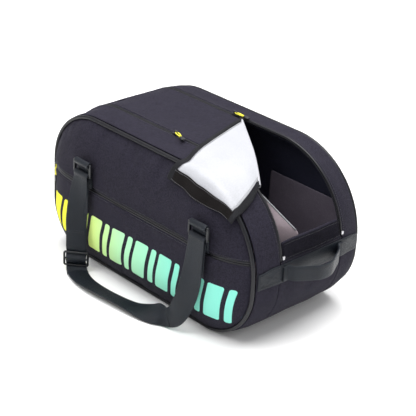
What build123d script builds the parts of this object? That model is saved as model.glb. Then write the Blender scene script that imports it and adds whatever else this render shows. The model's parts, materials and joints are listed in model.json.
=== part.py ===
"""Racket tournament bag: a padded duffel with a zipped front pocket, a centre lid whose
end is unzipped and thrown back over the front, two carry handles and a grab handle.

X runs along the bag, with the open end at +X. Y runs from the pocket side (-Y) to the
rear. Z is up from the surface that the bag stands on. Sizes are in millimetres.
"""

import math
import os

from build123d import *

os.makedirs("parts", exist_ok=True)

# ---- driving dimensions ---------------------------------------------------------------
bag_length = 520.0
bag_depth = 252.0
bag_height = 280.0
corner_top_left = 115.0
corner_top_right = 153.0
corner_bottom_right = 108.0
corner_bottom_left = 90.0
crown = 8.0
wall = 4.0
lining_thickness = 1.2
lining_gap = 0.3
piping_diameter = 7.0
piping_clearance = 0.2
base_board_thickness = 3.0
board_margin = 8.0

zipper_spacing = 144.0
zip_tape_width = 7.0
zip_tape_thickness = 2.0
seam_left = -196.0
zipper_end_drop = 122.0
mouth_sill_drop = 92.0
lining_rim_drop = 2.0
lid_setback = 2.0

front_bulge = 35.0
rear_bulge = 22.0
bulge_shoulder = 12.0
bulge_shoulder_inset = 7.0
bulge_face_inset = 83.0

pocket_zip_drop = 118.0
pocket_zip_width = 8.0
pocket_wall = 3.0

fold_rear_x = 18.0
fold_front_x = 200.0
flap_thickness = 1.6
flap_lining_thickness = 0.8
flap_air_gap = 1.0
flap_hinge_gap = 5.0
flap_binding_width = 8.0
flap_corner_setback = 10.0
flap_overhang = 20.0
flap_free_left = 46.0
flap_free_right = 210.0
flap_drop_left = 34.0
flap_drop_right = 18.0
hook_strip_height = 15.0
hook_strip_thickness = 1.2
hook_strip_margin = 1.0

webbing_width = 38.0
webbing_thickness = 2.4
ring_spacing = 296.0
ring_shift = 18.0
ring_bar = 4.4
ring_height = 26.0
ring_axis_drop = 68.0
ring_clearance = 0.5
ring_play = 0.4
ring_corner = 1.3
anchor_seam_gap = 2.0
handle_reach = 48.0
landing_reach = 28.8
handle_ground_gap = 0.4
buckle_height = 30.0
buckle_bar = 4.5
buckle_lift = 6.0

end_band_drop = 145.0
end_band_width = 34.0
grab_width = 28.0
grab_span = 116.0
grab_rise = 34.0
grab_thickness = 3.0
grab_foot_length = 16.0
grab_foot_overlap = 2.0
grab_foot_corner = 0.9
patch_height = 31.0
patch_thickness = 1.3
seam_gap = 0.05

slider_length = 12.0
slider_width = 7.0
slider_clearance = 0.4
front_slider_x = 4.0
rear_slider_x = 2.0
front_pull_turn = -20.0
rear_pull_turn = 0.0
pocket_slider_travel_start = 10.0
pull_cord_diameter = 2.2
pull_loop_width = 8.0
pull_cord_length = 15.0
pull_end_length = 12.0
pull_end_width = 8.0
pull_end_thickness = 4.0
pull_end_corner = 2.4
pull_loop_corner = 1.32
base_plate = 2.0
bridge_slack = 1.2
bridge_play = 0.5
bridge_bar = 1.4
bridge_width = 2.6
bridge_top = 1.2

divider_thickness = 2.0
divider_seam_gap = 0.5
divider_drop = 40.0
divider_end_gap = 48.0
divider_bend_gap = 2.0
divider_step = 10.0
wing_depth = 50.0
wing_end_gap = 3.0
wing_top_step = 6.0

# ---- sizes that follow ----------------------------------------------------------------
half_length = bag_length / 2
half_depth = bag_depth / 2
piping_radius = piping_diameter / 2
lid_edge = zipper_spacing / 2 - zip_tape_width / 2
gusset_edge = zipper_spacing / 2 + zip_tape_width / 2
wall_face = half_depth - piping_radius - piping_clearance
panel_inset = piping_diameter + piping_clearance
base_left = -half_length + corner_bottom_left
base_right = half_length - corner_bottom_right
lid_top = bag_height + crown
zipper_end_height = bag_height - zipper_end_drop
mouth_sill_height = bag_height - mouth_sill_drop
pocket_zip_height = bag_height - pocket_zip_drop
ring_axis_height = bag_height - ring_axis_drop
end_band_height = bag_height - end_band_drop
divider_top = bag_height - divider_drop
divider_y = -(lid_edge - divider_seam_gap)
far = 2 * bag_length
below = -wall
sharpest_corner = 1.0


def swell(y):
    """Share of the crown at depth y: full between the zippers, none at the piping."""
    share = (half_depth - abs(y)) / (half_depth - gusset_edge)
    return max(0.0, min(1.0, share))


def outline(y, inset):
    """The bag's rounded outline at depth y, moved inwards by inset."""
    left = -half_length + inset
    right = half_length + crown * swell(y) - inset
    bottom = inset
    top = bag_height + crown * swell(y) - inset
    corners = (
        (left, top, corner_top_left),
        (right, top, corner_top_right),
        (right, bottom, corner_bottom_right),
        (left, bottom, corner_bottom_left),
    )
    with BuildSketch(Plane.XZ.offset(-y)) as sketch:
        with Locations(((left + right) / 2, (bottom + top) / 2)):
            Rectangle(right - left, top - bottom)
        for corner_x, corner_z, radius in corners:
            corner = sketch.vertices().sort_by_distance((corner_x, corner_z))[0]
            fillet(corner, max(radius - inset, sharpest_corner))
    return sketch.sketch


def ring_slice(y_front, y_rear, outer, inner):
    """A closed band of the bag's wall between two depths and two insets."""
    outer_ends = [outline(y_front, outer), outline(y_rear, outer)]
    inner_ends = [outline(y_front, inner), outline(y_rear, inner)]
    with BuildPart() as band:
        loft(outer_ends)
        loft(inner_ends, mode=Mode.SUBTRACT)
    return band.part


def dome(side, bulge, inset_shift, height_shift):
    """The pillow of an end panel; side is -1 at the front and 1 at the rear."""
    stations = (
        (0.0, panel_inset),
        (bulge_shoulder, panel_inset + bulge_shoulder_inset),
        (bulge, panel_inset + bulge_face_inset),
    )
    sections = []
    for height, inset in stations:
        lift = height_shift if height else 0.0
        sections.append(outline(side * (wall_face + height + lift), inset + inset_shift))
    with BuildPart() as pillow:
        loft(sections, ruled=True)
    return pillow.part


def block(x_low, x_high, y_low, y_high, z_low, z_high):
    """A plain cutting block between three pairs of limits."""
    with BuildPart() as cutter:
        with Locations(((x_low + x_high) / 2, (y_low + y_high) / 2, (z_low + z_high) / 2)):
            Box(x_high - x_low, y_high - y_low, z_high - z_low)
    return cutter.part


def prism_down(points, z_low, z_high):
    """An upright prism on a polygon of (x, y) points."""
    with BuildPart() as cutter:
        with BuildSketch(Plane.XY.offset(z_low)):
            with BuildLine():
                Polyline(points, close=True)
            make_face()
        extrude(amount=z_high - z_low)
    return cutter.part


def prism_across(points):
    """A prism across the bag's depth on a polygon of (x, z) points."""
    with BuildPart() as cutter:
        with BuildSketch(Plane.XZ.offset(-far)):
            with BuildLine():
                Polyline(points, close=True)
            make_face()
        extrude(amount=2 * far)
    return cutter.part


def finish(piece, name):
    """Name a finished piece and write its file."""
    piece.part.label = name
    export_step(piece.part, f"parts/{name}.step")


base_cut = block(base_left, base_right, -half_depth, half_depth, below, bag_height / 2)

# ---- shell: gussets, end panels, base -------------------------------------------------
for side, name in ((-1, "front_gusset"), (1, "rear_gusset")):
    gusset_band = ring_slice(side * wall_face, side * gusset_edge, 0.0, wall)
    with BuildPart() as gusset:
        add(gusset_band)
        add(base_cut, mode=Mode.SUBTRACT)
    finish(gusset, name)

with BuildPart() as base_panel:
    with Locations(((base_left + base_right) / 2, 0, wall / 2)):
        Box(base_right - base_left, 2 * wall_face, wall)
finish(base_panel, "base_panel")

with BuildPart() as base_board:
    with Locations(((base_left + base_right) / 2, 0, wall + base_board_thickness / 2)):
        Box(
            base_right - base_left - 2 * board_margin,
            2 * (wall_face - wall - board_margin),
            base_board_thickness,
        )
    fillet(base_board.edges().filter_by(Axis.Z), board_margin)
finish(base_board, "base_board")

middle_band = ring_slice(-lid_edge, lid_edge, 0.0, wall)
wide_band = ring_slice(-gusset_edge, gusset_edge, 0.0, wall)

left_end_blank = [
    (-far, below),
    (base_left, below),
    (base_left, bag_height / 2),
    (seam_left, bag_height / 2),
    (seam_left, far),
    (-far, far),
]
left_end_cutter = prism_across(left_end_blank)
with BuildPart() as left_end_panel:
    add(wide_band)
    add(left_end_cutter, mode=Mode.INTERSECT)
finish(left_end_panel, "left_end_panel")

fold_line = ((fold_rear_x, lid_edge), (fold_front_x, -lid_edge))
fold_slope = (fold_front_x - fold_rear_x) / (2 * lid_edge)
fold_length = math.hypot(fold_front_x - fold_rear_x, 2 * lid_edge)


def fold_x(y, setback):
    """X of a line parallel to the fold, moved back from it by setback, at depth y."""
    return fold_rear_x + (lid_edge - y) * fold_slope - setback * fold_length / (2 * lid_edge)


lid_plan = [
    (seam_left, -lid_edge),
    (fold_x(-lid_edge, lid_setback), -lid_edge),
    (fold_x(lid_edge, lid_setback), lid_edge),
    (seam_left, lid_edge),
]
lid_cutter = prism_down(lid_plan, bag_height / 2, far)
with BuildPart() as centre_lid:
    add(middle_band)
    add(lid_cutter, mode=Mode.INTERSECT)
finish(centre_lid, "centre_lid")

sill_cutter = block(base_right, far, -far, far, zipper_end_height, mouth_sill_height)
right_end_cutter = block(base_right, far, -far, far, below, zipper_end_height)
with BuildPart() as mouth_sill:
    add(middle_band)
    add(sill_cutter, mode=Mode.INTERSECT)
with BuildPart() as right_end_panel:
    add(wide_band)
    add(right_end_cutter, mode=Mode.INTERSECT)
    add(mouth_sill.part)
finish(right_end_panel, "right_end_panel")

# ---- main zippers: one tape on each side of the lid, to the end stops ------------------
zipper_zone = block(seam_left, far, -far, far, zipper_end_height, far)
for side, name in ((-1, "front"), (1, "rear")):
    tape_band = ring_slice(side * gusset_edge, side * lid_edge, 0.0, zip_tape_thickness)
    with BuildPart() as zip_tape:
        add(tape_band)
        add(zipper_zone, mode=Mode.INTERSECT)
    finish(zip_tape, f"main_zip_tape_{name}")

stop_size = (2.0, 5.0, 6.0)
stop_corner = 1.5
end_face = half_length + crown
for side, name in ((-1, "front"), (1, "rear")):
    with BuildPart() as zip_stop:
        with Locations((end_face + stop_size[0] / 2, side * zipper_spacing / 2,
                        zipper_end_height + stop_size[2])):
            Box(*stop_size)
        fillet(zip_stop.edges().filter_by(Axis.X), stop_corner)
    finish(zip_stop, f"zip_stop_{name}")

# ---- front wall, pocket and upper panel; rear wall and panel ---------------------------
for side, name in ((-1, "front_wall"), (1, "rear_wall")):
    wall_ends = [outline(side * wall_face, wall), outline(side * (wall_face - wall), wall)]
    with BuildPart() as panel_wall:
        loft(wall_ends)
    finish(panel_wall, name)

pocket_low = pocket_zip_height - pocket_zip_width / 2
pocket_high = pocket_zip_height + pocket_zip_width / 2
front_dome = dome(-1, front_bulge, 0.0, 0.0)
front_dome_inside = dome(-1, front_bulge, pocket_wall, -pocket_wall)

above_zip = block(-far, far, -far, far, pocket_high, far)
below_zip = block(-far, far, -far, far, below, pocket_low)
at_zip = block(-far, far, -far, far, pocket_low, pocket_high)

with BuildPart() as front_upper_panel:
    add(front_dome)
    add(above_zip, mode=Mode.INTERSECT)
finish(front_upper_panel, "front_upper_panel")

with BuildPart() as pocket_panel:
    add(front_dome)
    add(front_dome_inside, mode=Mode.SUBTRACT)
    add(below_zip, mode=Mode.INTERSECT)
finish(pocket_panel, "pocket_panel")

with BuildPart() as pocket_zip_tape:
    add(front_dome)
    add(front_dome_inside, mode=Mode.SUBTRACT)
    add(at_zip, mode=Mode.INTERSECT)
finish(pocket_zip_tape, "pocket_zip_tape")

rear_dome = dome(1, rear_bulge, 0.0, 0.0)
with BuildPart() as rear_panel:
    add(rear_dome)
finish(rear_panel, "rear_panel")

# ---- piping around both end panels ------------------------------------------------------
for side, name in ((-1, "front_piping"), (1, "rear_piping")):
    piping_outline = outline(side * half_depth, piping_radius)
    piping_path = piping_outline.faces()[0].outer_wire()
    with BuildPart() as piping:
        with BuildSketch(Plane(piping_path @ 0, z_dir=piping_path % 0)):
            Circle(piping_radius)
        sweep(path=piping_path)
    finish(piping, name)

# ---- lining and the thermal divider -----------------------------------------------------
lining_outer = wall + base_board_thickness + lining_gap
lining_inner = lining_outer + lining_thickness
lining_end = wall_face - wall - lining_gap
lining_bands = [
    ring_slice(-lining_end, -gusset_edge, lining_outer, lining_inner),
    ring_slice(-gusset_edge, gusset_edge, lining_outer, lining_inner),
    ring_slice(gusset_edge, lining_end, lining_outer, lining_inner),
]
mouth_plan = [
    (fold_x(-lid_edge, lid_setback), -lid_edge),
    (far, -lid_edge),
    (far, lid_edge),
    (fold_x(lid_edge, lid_setback), lid_edge),
]
mouth_cutter = prism_down(mouth_plan, mouth_sill_height - lining_rim_drop, far)
with BuildPart() as main_lining:
    for lining_band in lining_bands:
        add(lining_band)
    add(mouth_cutter, mode=Mode.SUBTRACT)
finish(main_lining, "main_lining")

divider_floor = lining_inner + lining_gap
divider_left = -half_length + divider_end_gap
divider_bend = (fold_front_x + divider_bend_gap, divider_y)
divider_end = (half_length - lining_inner - wing_end_gap, divider_y + wing_depth)
with BuildPart() as divider_sheet:
    with BuildSketch(Plane.XZ.offset(-divider_y)):
        with BuildLine():
            Polyline(
                (divider_left, corner_bottom_left),
                (base_left - 2 * divider_step, divider_floor + divider_step),
                (base_left + divider_step, divider_floor),
                (base_right - divider_step, divider_floor),
                (divider_bend[0], divider_floor + 2 * divider_step),
                (divider_bend[0], divider_top - divider_step),
                (divider_bend[0] - corner_top_right / 2, divider_top),
                (divider_left + 3 * divider_step, divider_top),
                (divider_left, divider_top - 4 * divider_step),
                close=True,
            )
        make_face()
    extrude(amount=divider_thickness)
finish(divider_sheet, "divider_sheet")

wing_plane = Plane(
    origin=(divider_bend[0], divider_bend[1], 0),
    x_dir=(divider_end[0] - divider_bend[0], divider_end[1] - divider_bend[1], 0),
    z_dir=(divider_end[1] - divider_bend[1], divider_bend[0] - divider_end[0], 0),
)
wing_length = math.hypot(divider_end[0] - divider_bend[0], divider_end[1] - divider_bend[1])
with BuildPart() as divider_wing:
    with BuildSketch(wing_plane):
        with BuildLine():
            Polyline(
                (divider_thickness, corner_bottom_right / 2),
                (wing_length, corner_bottom_right),
                (wing_length, mouth_sill_height - wing_top_step),
                (divider_thickness, divider_top - divider_step),
                close=True,
            )
        make_face()
    extrude(amount=divider_thickness)
finish(divider_wing, "divider_wing")

# ---- right end: loop patch, webbing band and grab handle --------------------------------
patch_band = ring_slice(-lid_edge, lid_edge, -patch_thickness, -seam_gap)
patch_low = mouth_sill_height - patch_height
patch_zone = block(half_length / 2, far, -far, far, patch_low, mouth_sill_height)
with BuildPart() as loop_patch:
    add(patch_band)
    add(patch_zone, mode=Mode.INTERSECT)
finish(loop_patch, "loop_patch")

band_low = end_band_height - end_band_width / 2
band_high = end_band_height + end_band_width / 2
band_layers = [
    ring_slice(-wall_face, -gusset_edge, -webbing_thickness, -seam_gap),
    ring_slice(-gusset_edge, gusset_edge, -webbing_thickness, -seam_gap),
    ring_slice(gusset_edge, wall_face, -webbing_thickness, -seam_gap),
]
band_zone = block(half_length / 2, far, -far, far, band_low, band_high)
with BuildPart() as end_band:
    for layer in band_layers:
        add(layer)
    add(band_zone, mode=Mode.INTERSECT)
finish(end_band, "end_band")

grab_foot = end_face + webbing_thickness + seam_gap
grab_low = (band_low + band_high - grab_width) / 2
with BuildPart() as grab_handle:
    with BuildSketch(Plane.XY.offset(grab_low)):
        with BuildLine():
            arch = ThreePointArc(
                (grab_foot, -grab_span / 2),
                (grab_foot + grab_rise, 0),
                (grab_foot, grab_span / 2),
            )
            back = ThreePointArc(
                (grab_foot, grab_thickness + grab_foot_corner - grab_span / 2),
                (grab_foot + grab_rise - grab_thickness, 0),
                (grab_foot, grab_span / 2 - grab_thickness - grab_foot_corner),
            )
            Line(arch @ 0, back @ 0)
            Line(arch @ 1, back @ 1)
        make_face()
        for side in (-1, 1):
            with Locations((grab_foot + grab_thickness / 2,
                            side * (grab_span + grab_foot_length - 2 * grab_foot_overlap) / 2)):
                Rectangle(grab_thickness, grab_foot_length)
    extrude(amount=grab_width)
finish(grab_handle, "grab_handle")

# ---- flap: the unzipped end of the lid, folded back along a slanting line ---------------
flap_face = flap_air_gap + flap_thickness
flap_skin = flap_face + flap_lining_thickness
free_y = -(half_depth + flap_overhang)
flap_rear_y = lid_edge - flap_corner_setback
flap_plan = [
    (fold_x(flap_rear_y, flap_hinge_gap), flap_rear_y),
    (fold_x(-lid_edge, flap_hinge_gap), -lid_edge),
    (flap_free_right, free_y),
    (flap_free_left, free_y),
]


def top_height(x):
    """Height of the bag's top edge at the piping, at length x."""
    run = max(0.0, x - (half_length - corner_top_right))
    return bag_height - corner_top_right + math.sqrt(corner_top_right**2 - run**2)


hem_points = (
    (flap_free_left, top_height(flap_free_left) - flap_drop_left),
    (flap_free_right, top_height(flap_free_right) - flap_drop_right),
)


def drape(plan, outer, inner, y_end):
    """The layer over the bag's top between two heights above it, within a plan."""
    middle_layer = ring_slice(-gusset_edge, lid_edge, -outer, -inner)
    gusset_layer = ring_slice(y_end, -gusset_edge, -outer, -inner)
    plan_prism = prism_down(plan, bag_height / 2, far)
    with BuildPart() as layer:
        add(middle_layer)
        add(gusset_layer)
        add(plan_prism, mode=Mode.INTERSECT)
    return layer.part


def hang(y_face, thickness, rise_low, rise_high, outset):
    """An upright layer in front of y_face, between two heights above the hem."""
    slab_ends = [outline(y_face - thickness, -outset), outline(y_face, -outset)]
    window = [
        (hem_points[0][0], hem_points[0][1] + rise_low),
        (hem_points[1][0], hem_points[1][1] + rise_low),
        (hem_points[1][0], hem_points[1][1] + rise_high),
        (hem_points[0][0], hem_points[0][1] + rise_high),
    ]
    window_prism = prism_across(window)
    with BuildPart() as layer:
        loft(slab_ends)
        add(window_prism, mode=Mode.INTERSECT)
    return layer.part


def side_strip(plan, width):
    """The two strips of a plan along its rear-left and its front-right sides."""
    rear, hinge, right, left = plan
    rear_in = (rear[0] + width, rear[1])
    hinge_in = (hinge[0] - width, hinge[1] + width / fold_slope)
    right_in = (right[0] - width, right[1])
    left_in = (left[0] + width, left[1])
    near = [rear, rear_in, left_in, left]
    away = [hinge_in, hinge, right, right_in]
    return near, away, [rear_in, hinge_in, right_in, left_in]


left_strip, right_strip, lining_plan = side_strip(flap_plan, flap_binding_width)
shell_top = drape(flap_plan, flap_face, flap_air_gap, free_y)
shell_tip = hang(free_y + flap_thickness, flap_thickness, 0.0, far, flap_face)
with BuildPart() as flap_shell:
    add(shell_top)
    add(shell_tip)
finish(flap_shell, "flap_shell")

lining_top = drape(lining_plan, flap_skin, flap_face, free_y)
lining_rise = hook_strip_height + hook_strip_margin
lining_tip = hang(free_y, flap_lining_thickness, lining_rise, far, flap_skin)
lining_tip_zone = block(
    flap_free_left + flap_binding_width,
    flap_free_right - flap_binding_width,
    2 * free_y,
    far,
    0.0,
    far,
)
with BuildPart() as flap_lining:
    add(lining_tip)
    add(lining_tip_zone, mode=Mode.INTERSECT)
    add(lining_top)
finish(flap_lining, "flap_lining")

for plan, name in ((left_strip, "flap_binding_rear"), (right_strip, "flap_binding_front")):
    binding_top = drape(plan, flap_skin, flap_face, free_y)
    with BuildPart() as flap_binding:
        add(binding_top)
    finish(flap_binding, name)

hook_layer = hang(
    free_y, hook_strip_thickness, hook_strip_margin, hook_strip_height, flap_air_gap
)
with BuildPart() as flap_hook_strip:
    add(hook_layer)
finish(flap_hook_strip, "flap_hook_strip")

# ---- zipper sliders and pulls -----------------------------------------------------------
bridge_gap = pull_cord_diameter + 2 * bridge_slack
bridge_height = pull_cord_diameter + 2 * bridge_play


def make_slider(plane, pull_turn, name):
    """A slider with a bridge; the plane's X runs along the zipper, its Z away from it."""
    with BuildPart(plane.offset(slider_clearance)) as body:
        with Locations((0, 0, base_plate / 2)):
            Box(slider_length, slider_width, base_plate)
        with Locations(Rot(0, 0, pull_turn)):
            for end in (-1, 1):
                post_x = end * (bridge_gap + bridge_bar) / 2
                with Locations((post_x, 0, base_plate + bridge_height / 2)):
                    Box(bridge_bar, bridge_width, bridge_height)
            with Locations((0, 0, base_plate + bridge_height + bridge_top / 2)):
                Box(bridge_gap + 2 * bridge_bar, bridge_width, bridge_top)
    finish(body, name)


def make_pull(plane, name):
    """A cord loop and a moulded end; the loop's near bar lies on the plane's Y axis."""
    loop_inside = pull_loop_width - pull_cord_diameter
    with BuildPart(plane) as loop:
        with BuildSketch(plane):
            with Locations((pull_cord_length / 2 - pull_cord_diameter / 2, 0)):
                RectangleRounded(pull_cord_length, pull_loop_width, pull_loop_corner)
                Rectangle(
                    pull_cord_length - 2 * pull_cord_diameter,
                    loop_inside - pull_cord_diameter,
                    mode=Mode.SUBTRACT,
                )
        extrude(amount=pull_cord_diameter / 2, both=True)
    finish(loop, f"{name}_cord")
    with BuildPart(plane) as grip:
        with BuildSketch(plane):
            end_middle = pull_cord_length - pull_cord_diameter / 2 + pull_end_length / 2
            with Locations((end_middle, 0)):
                RectangleRounded(pull_end_length, pull_end_width, pull_end_corner)
        extrude(amount=pull_end_thickness / 2, both=True)
    finish(grip, f"{name}_end")


pivot_lift = slider_clearance + base_plate + bridge_height / 2
for side, name, slider_x, turn in (
    (-1, "front", front_slider_x, front_pull_turn),
    (1, "rear", rear_slider_x, rear_pull_turn),
):
    slider_y = side * zipper_spacing / 2
    slider_plane = Plane((slider_x, slider_y, lid_top), x_dir=(1, 0, 0), z_dir=(0, 0, 1))
    make_slider(slider_plane, turn, f"main_slider_{name}")
    pull_direction = (math.cos(math.radians(turn)), math.sin(math.radians(turn)), 0)
    pull_plane = Plane((slider_x, slider_y, lid_top + pivot_lift), x_dir=pull_direction,
                       z_dir=(0, 0, 1))
    make_pull(pull_plane, f"main_pull_{name}")

facet_run = bulge_face_inset - bulge_shoulder_inset
facet_rise = front_bulge - bulge_shoulder
facet_length = math.hypot(facet_run, facet_rise)
facet_start_x = -half_length + panel_inset + bulge_shoulder_inset
facet_start_y = -(wall_face + bulge_shoulder)
pocket_slider_point = (
    facet_start_x + pocket_slider_travel_start * facet_run / facet_length,
    facet_start_y - pocket_slider_travel_start * facet_rise / facet_length,
    pocket_zip_height,
)
pocket_normal = (-facet_rise / facet_length, -facet_run / facet_length, 0)
pocket_along = (facet_run / facet_length, -facet_rise / facet_length, 0)
pocket_plane = Plane(pocket_slider_point, x_dir=pocket_along, z_dir=pocket_normal)
make_slider(pocket_plane, 90.0, "pocket_slider")
pocket_pivot = tuple(
    point + pivot_lift * normal for point, normal in zip(pocket_slider_point, pocket_normal)
)
make_pull(Plane(pocket_pivot, x_dir=(0, 0, -1), z_dir=pocket_normal), "pocket_pull")

# ---- carry handles ----------------------------------------------------------------------
anchor_hole = ring_bar / math.sqrt(2) + ring_play
anchor_radius = anchor_hole + 0.8 * webbing_thickness
ring_outer_width = webbing_width + 2 * ring_bar + 2 * ring_clearance


def make_handle(side, panel_face, prefix):
    """Anchors, rings and strap of one carry handle, hanging in front of its panel."""
    anchor_back = panel_face + seam_gap
    anchor_front = anchor_back + webbing_thickness
    axis_reach = anchor_front + ring_clearance + anchor_radius
    axis_y = side * axis_reach
    anchor_low = pocket_high + anchor_seam_gap
    anchor_top = ring_axis_height + anchor_radius
    for end, end_name in ((-1, "left"), (1, "right")):
        x = ring_shift + end * ring_spacing / 2
        with BuildPart() as anchor:
            with BuildSketch(Plane.YZ.offset(x - webbing_width / 2)):
                with Locations((axis_y, ring_axis_height)):
                    Circle(anchor_radius)
                with Locations((side * (anchor_back + anchor_front) / 2,
                                (anchor_low + anchor_top) / 2)):
                    Rectangle(webbing_thickness, anchor_top - anchor_low)
                with Locations((side * (anchor_back + axis_reach) / 2,
                                (ring_axis_height + anchor_hole + anchor_top) / 2)):
                    Rectangle(axis_reach - anchor_back,
                              anchor_top - ring_axis_height - anchor_hole)
                with Locations((axis_y, ring_axis_height)):
                    Circle(anchor_hole, mode=Mode.SUBTRACT)
            extrude(amount=webbing_width)
        finish(anchor, f"{prefix}_anchor_{end_name}")

        ring_middle = ring_axis_height - ring_height / 2 + ring_bar / 2
        with BuildPart() as ring:
            with BuildSketch(Plane.XZ.offset(-axis_y)):
                with Locations((x, ring_middle)):
                    RectangleRounded(ring_outer_width, ring_height, ring_bar)
                    Rectangle(ring_outer_width - 2 * ring_bar, ring_height - 2 * ring_bar,
                              mode=Mode.SUBTRACT)
            extrude(amount=ring_bar / 2, both=True)
            fillet(ring.edges().filter_by(Axis.X), ring_corner)
        finish(ring, f"{prefix}_ring_{end_name}")

    low_bar = ring_axis_height - ring_height + ring_bar
    strap_y = axis_y + side * (anchor_radius - webbing_thickness / 2)
    left_x = ring_shift - ring_spacing / 2
    leg_x = (left_x - webbing_width / 2, left_x + webbing_width / 2)
    with BuildPart() as leg_left:
        with BuildSketch(Plane.YZ.offset(leg_x[0])):
            with Locations((axis_y, low_bar)):
                Circle(anchor_radius)
            with Locations((strap_y, (low_bar + handle_ground_gap) / 2)):
                Rectangle(webbing_thickness, low_bar - handle_ground_gap)
            with Locations((axis_y, low_bar)):
                Circle(anchor_hole, mode=Mode.SUBTRACT)
        extrude(amount=webbing_width)
    finish(leg_left, f"{prefix}_strap_left")

    right_x = ring_shift + ring_spacing / 2
    landing_x = right_x - webbing_width
    landing_y = strap_y + side * landing_reach
    top_plane = Plane.XY.offset(low_bar - anchor_radius)
    foot_plane = Plane.XY.offset(handle_ground_gap + webbing_thickness)
    with BuildPart() as leg_right:
        with BuildSketch(top_plane):
            with Locations((right_x, strap_y)):
                Rectangle(webbing_width, webbing_thickness)
        with BuildSketch(foot_plane):
            with Locations((landing_x, landing_y)):
                Rectangle(webbing_width, webbing_thickness)
        loft()
        with BuildSketch(Plane.YZ.offset(right_x - webbing_width / 2)):
            with Locations((axis_y, low_bar)):
                Circle(anchor_radius)
            with Locations((strap_y, low_bar - anchor_radius / 2)):
                Rectangle(webbing_thickness, anchor_radius)
            with Locations((axis_y, low_bar)):
                Circle(anchor_hole, mode=Mode.SUBTRACT)
        extrude(amount=webbing_width)
    finish(leg_right, f"{prefix}_strap_right")

    start_y = strap_y + side * (webbing_thickness / 2 + webbing_width / 2 + seam_gap)
    middle_y = strap_y + side * handle_reach
    with BuildPart() as grip:
        with BuildSketch(Plane.XY.offset(handle_ground_gap)):
            with BuildLine():
                outer = ThreePointArc(
                    (leg_x[0], start_y + side * webbing_width / 2),
                    ((left_x + landing_x) / 2, middle_y + side * webbing_width / 2),
                    (landing_x + webbing_width / 2, landing_y + side * webbing_width / 2),
                )
                inner = ThreePointArc(
                    (leg_x[0], start_y - side * webbing_width / 2),
                    ((left_x + landing_x) / 2, middle_y - side * webbing_width / 2),
                    (landing_x + webbing_width / 2, landing_y - side * webbing_width / 2),
                )
                Line(outer @ 0, inner @ 0)
                Line(outer @ 1, inner @ 1)
            make_face()
        extrude(amount=webbing_thickness)
    finish(grip, f"{prefix}_strap_grip")

    buckle_y = strap_y + side * (webbing_thickness / 2 + buckle_bar / 2 + seam_gap)
    buckle_width = webbing_width + 2 * buckle_bar
    buckle_z = handle_ground_gap + webbing_thickness + buckle_height / 2 + buckle_lift
    with BuildPart() as buckle:
        with BuildSketch(Plane.XZ.offset(-buckle_y)):
            with Locations((left_x, buckle_z)):
                RectangleRounded(buckle_width, buckle_height, buckle_bar)
            slot_height = (buckle_height - 3 * buckle_bar) / 2
            for level in (-1, 1):
                with Locations((left_x, buckle_z + level * (slot_height + buckle_bar) / 2)):
                    Rectangle(webbing_width, slot_height, mode=Mode.SUBTRACT)
        extrude(amount=buckle_bar / 2, both=True)
    finish(buckle, f"{prefix}_buckle")


make_handle(-1, wall_face + front_bulge, "front_handle")
make_handle(1, wall_face + rear_bulge, "rear_handle")
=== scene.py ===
"""Looks of the racket tournament bag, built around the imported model.

X runs along the bag to its open end, -Y is the pocket side and Z is up. Sizes are in metres.
"""

import json
import math

import bpy
import numpy as np
from mathutils import Matrix, Vector, noise


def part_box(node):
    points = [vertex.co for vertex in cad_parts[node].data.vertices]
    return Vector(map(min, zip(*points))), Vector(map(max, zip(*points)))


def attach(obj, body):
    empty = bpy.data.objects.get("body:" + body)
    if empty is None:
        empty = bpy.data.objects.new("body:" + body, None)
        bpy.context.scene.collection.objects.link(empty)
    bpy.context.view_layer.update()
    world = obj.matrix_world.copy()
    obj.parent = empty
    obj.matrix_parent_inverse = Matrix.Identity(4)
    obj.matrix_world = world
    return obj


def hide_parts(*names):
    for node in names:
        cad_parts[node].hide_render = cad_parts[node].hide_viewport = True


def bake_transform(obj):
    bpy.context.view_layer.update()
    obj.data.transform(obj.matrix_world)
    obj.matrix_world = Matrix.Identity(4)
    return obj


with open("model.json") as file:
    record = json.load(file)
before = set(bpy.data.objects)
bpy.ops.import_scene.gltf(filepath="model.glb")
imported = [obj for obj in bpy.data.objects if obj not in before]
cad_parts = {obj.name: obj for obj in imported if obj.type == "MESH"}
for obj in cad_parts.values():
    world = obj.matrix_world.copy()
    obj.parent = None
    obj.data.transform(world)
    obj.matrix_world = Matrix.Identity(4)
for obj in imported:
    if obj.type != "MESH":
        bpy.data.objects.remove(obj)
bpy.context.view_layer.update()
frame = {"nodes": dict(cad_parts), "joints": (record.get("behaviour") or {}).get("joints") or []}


def middle_x(node):
    """X of the middle of a CAD piece."""
    low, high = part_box(node)
    return (low.x + high.x) / 2


# ---- sizes read from the frame
pipe_low, pipe_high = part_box("front_piping")
HALF_LENGTH = pipe_high.x
HEIGHT = pipe_high.z
HALF_DEPTH = -(pipe_low.y + pipe_high.y) / 2
PIPE_RADIUS = (pipe_high.y - pipe_low.y) / 2
LID_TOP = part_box("centre_lid")[1].z
CROWN = LID_TOP - HEIGHT
SEAM_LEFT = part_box("centre_lid")[0].x
tape_low, tape_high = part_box("main_zip_tape_front")
GUSSET_EDGE = -tape_low.y
LID_EDGE = -tape_high.y
ZIP_END = tape_low.z
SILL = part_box("right_end_panel")[1].z
WALL_FACE = -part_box("front_wall")[0].y
FRONT_FACE = -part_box("front_upper_panel")[0].y
REAR_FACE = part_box("rear_panel")[1].y
POCKET_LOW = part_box("pocket_zip_tape")[0].z
POCKET_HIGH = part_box("pocket_zip_tape")[1].z
patch_low, patch_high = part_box("loop_patch")
band_low, band_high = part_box("end_band")
grab_low, grab_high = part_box("grab_handle")
FRONT_SLIDER_X, REAR_SLIDER_X = middle_x("main_slider_front"), middle_x("main_slider_rear")
BOTH_SIDES = ((-1, "front"), (1, "rear"))

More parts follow.
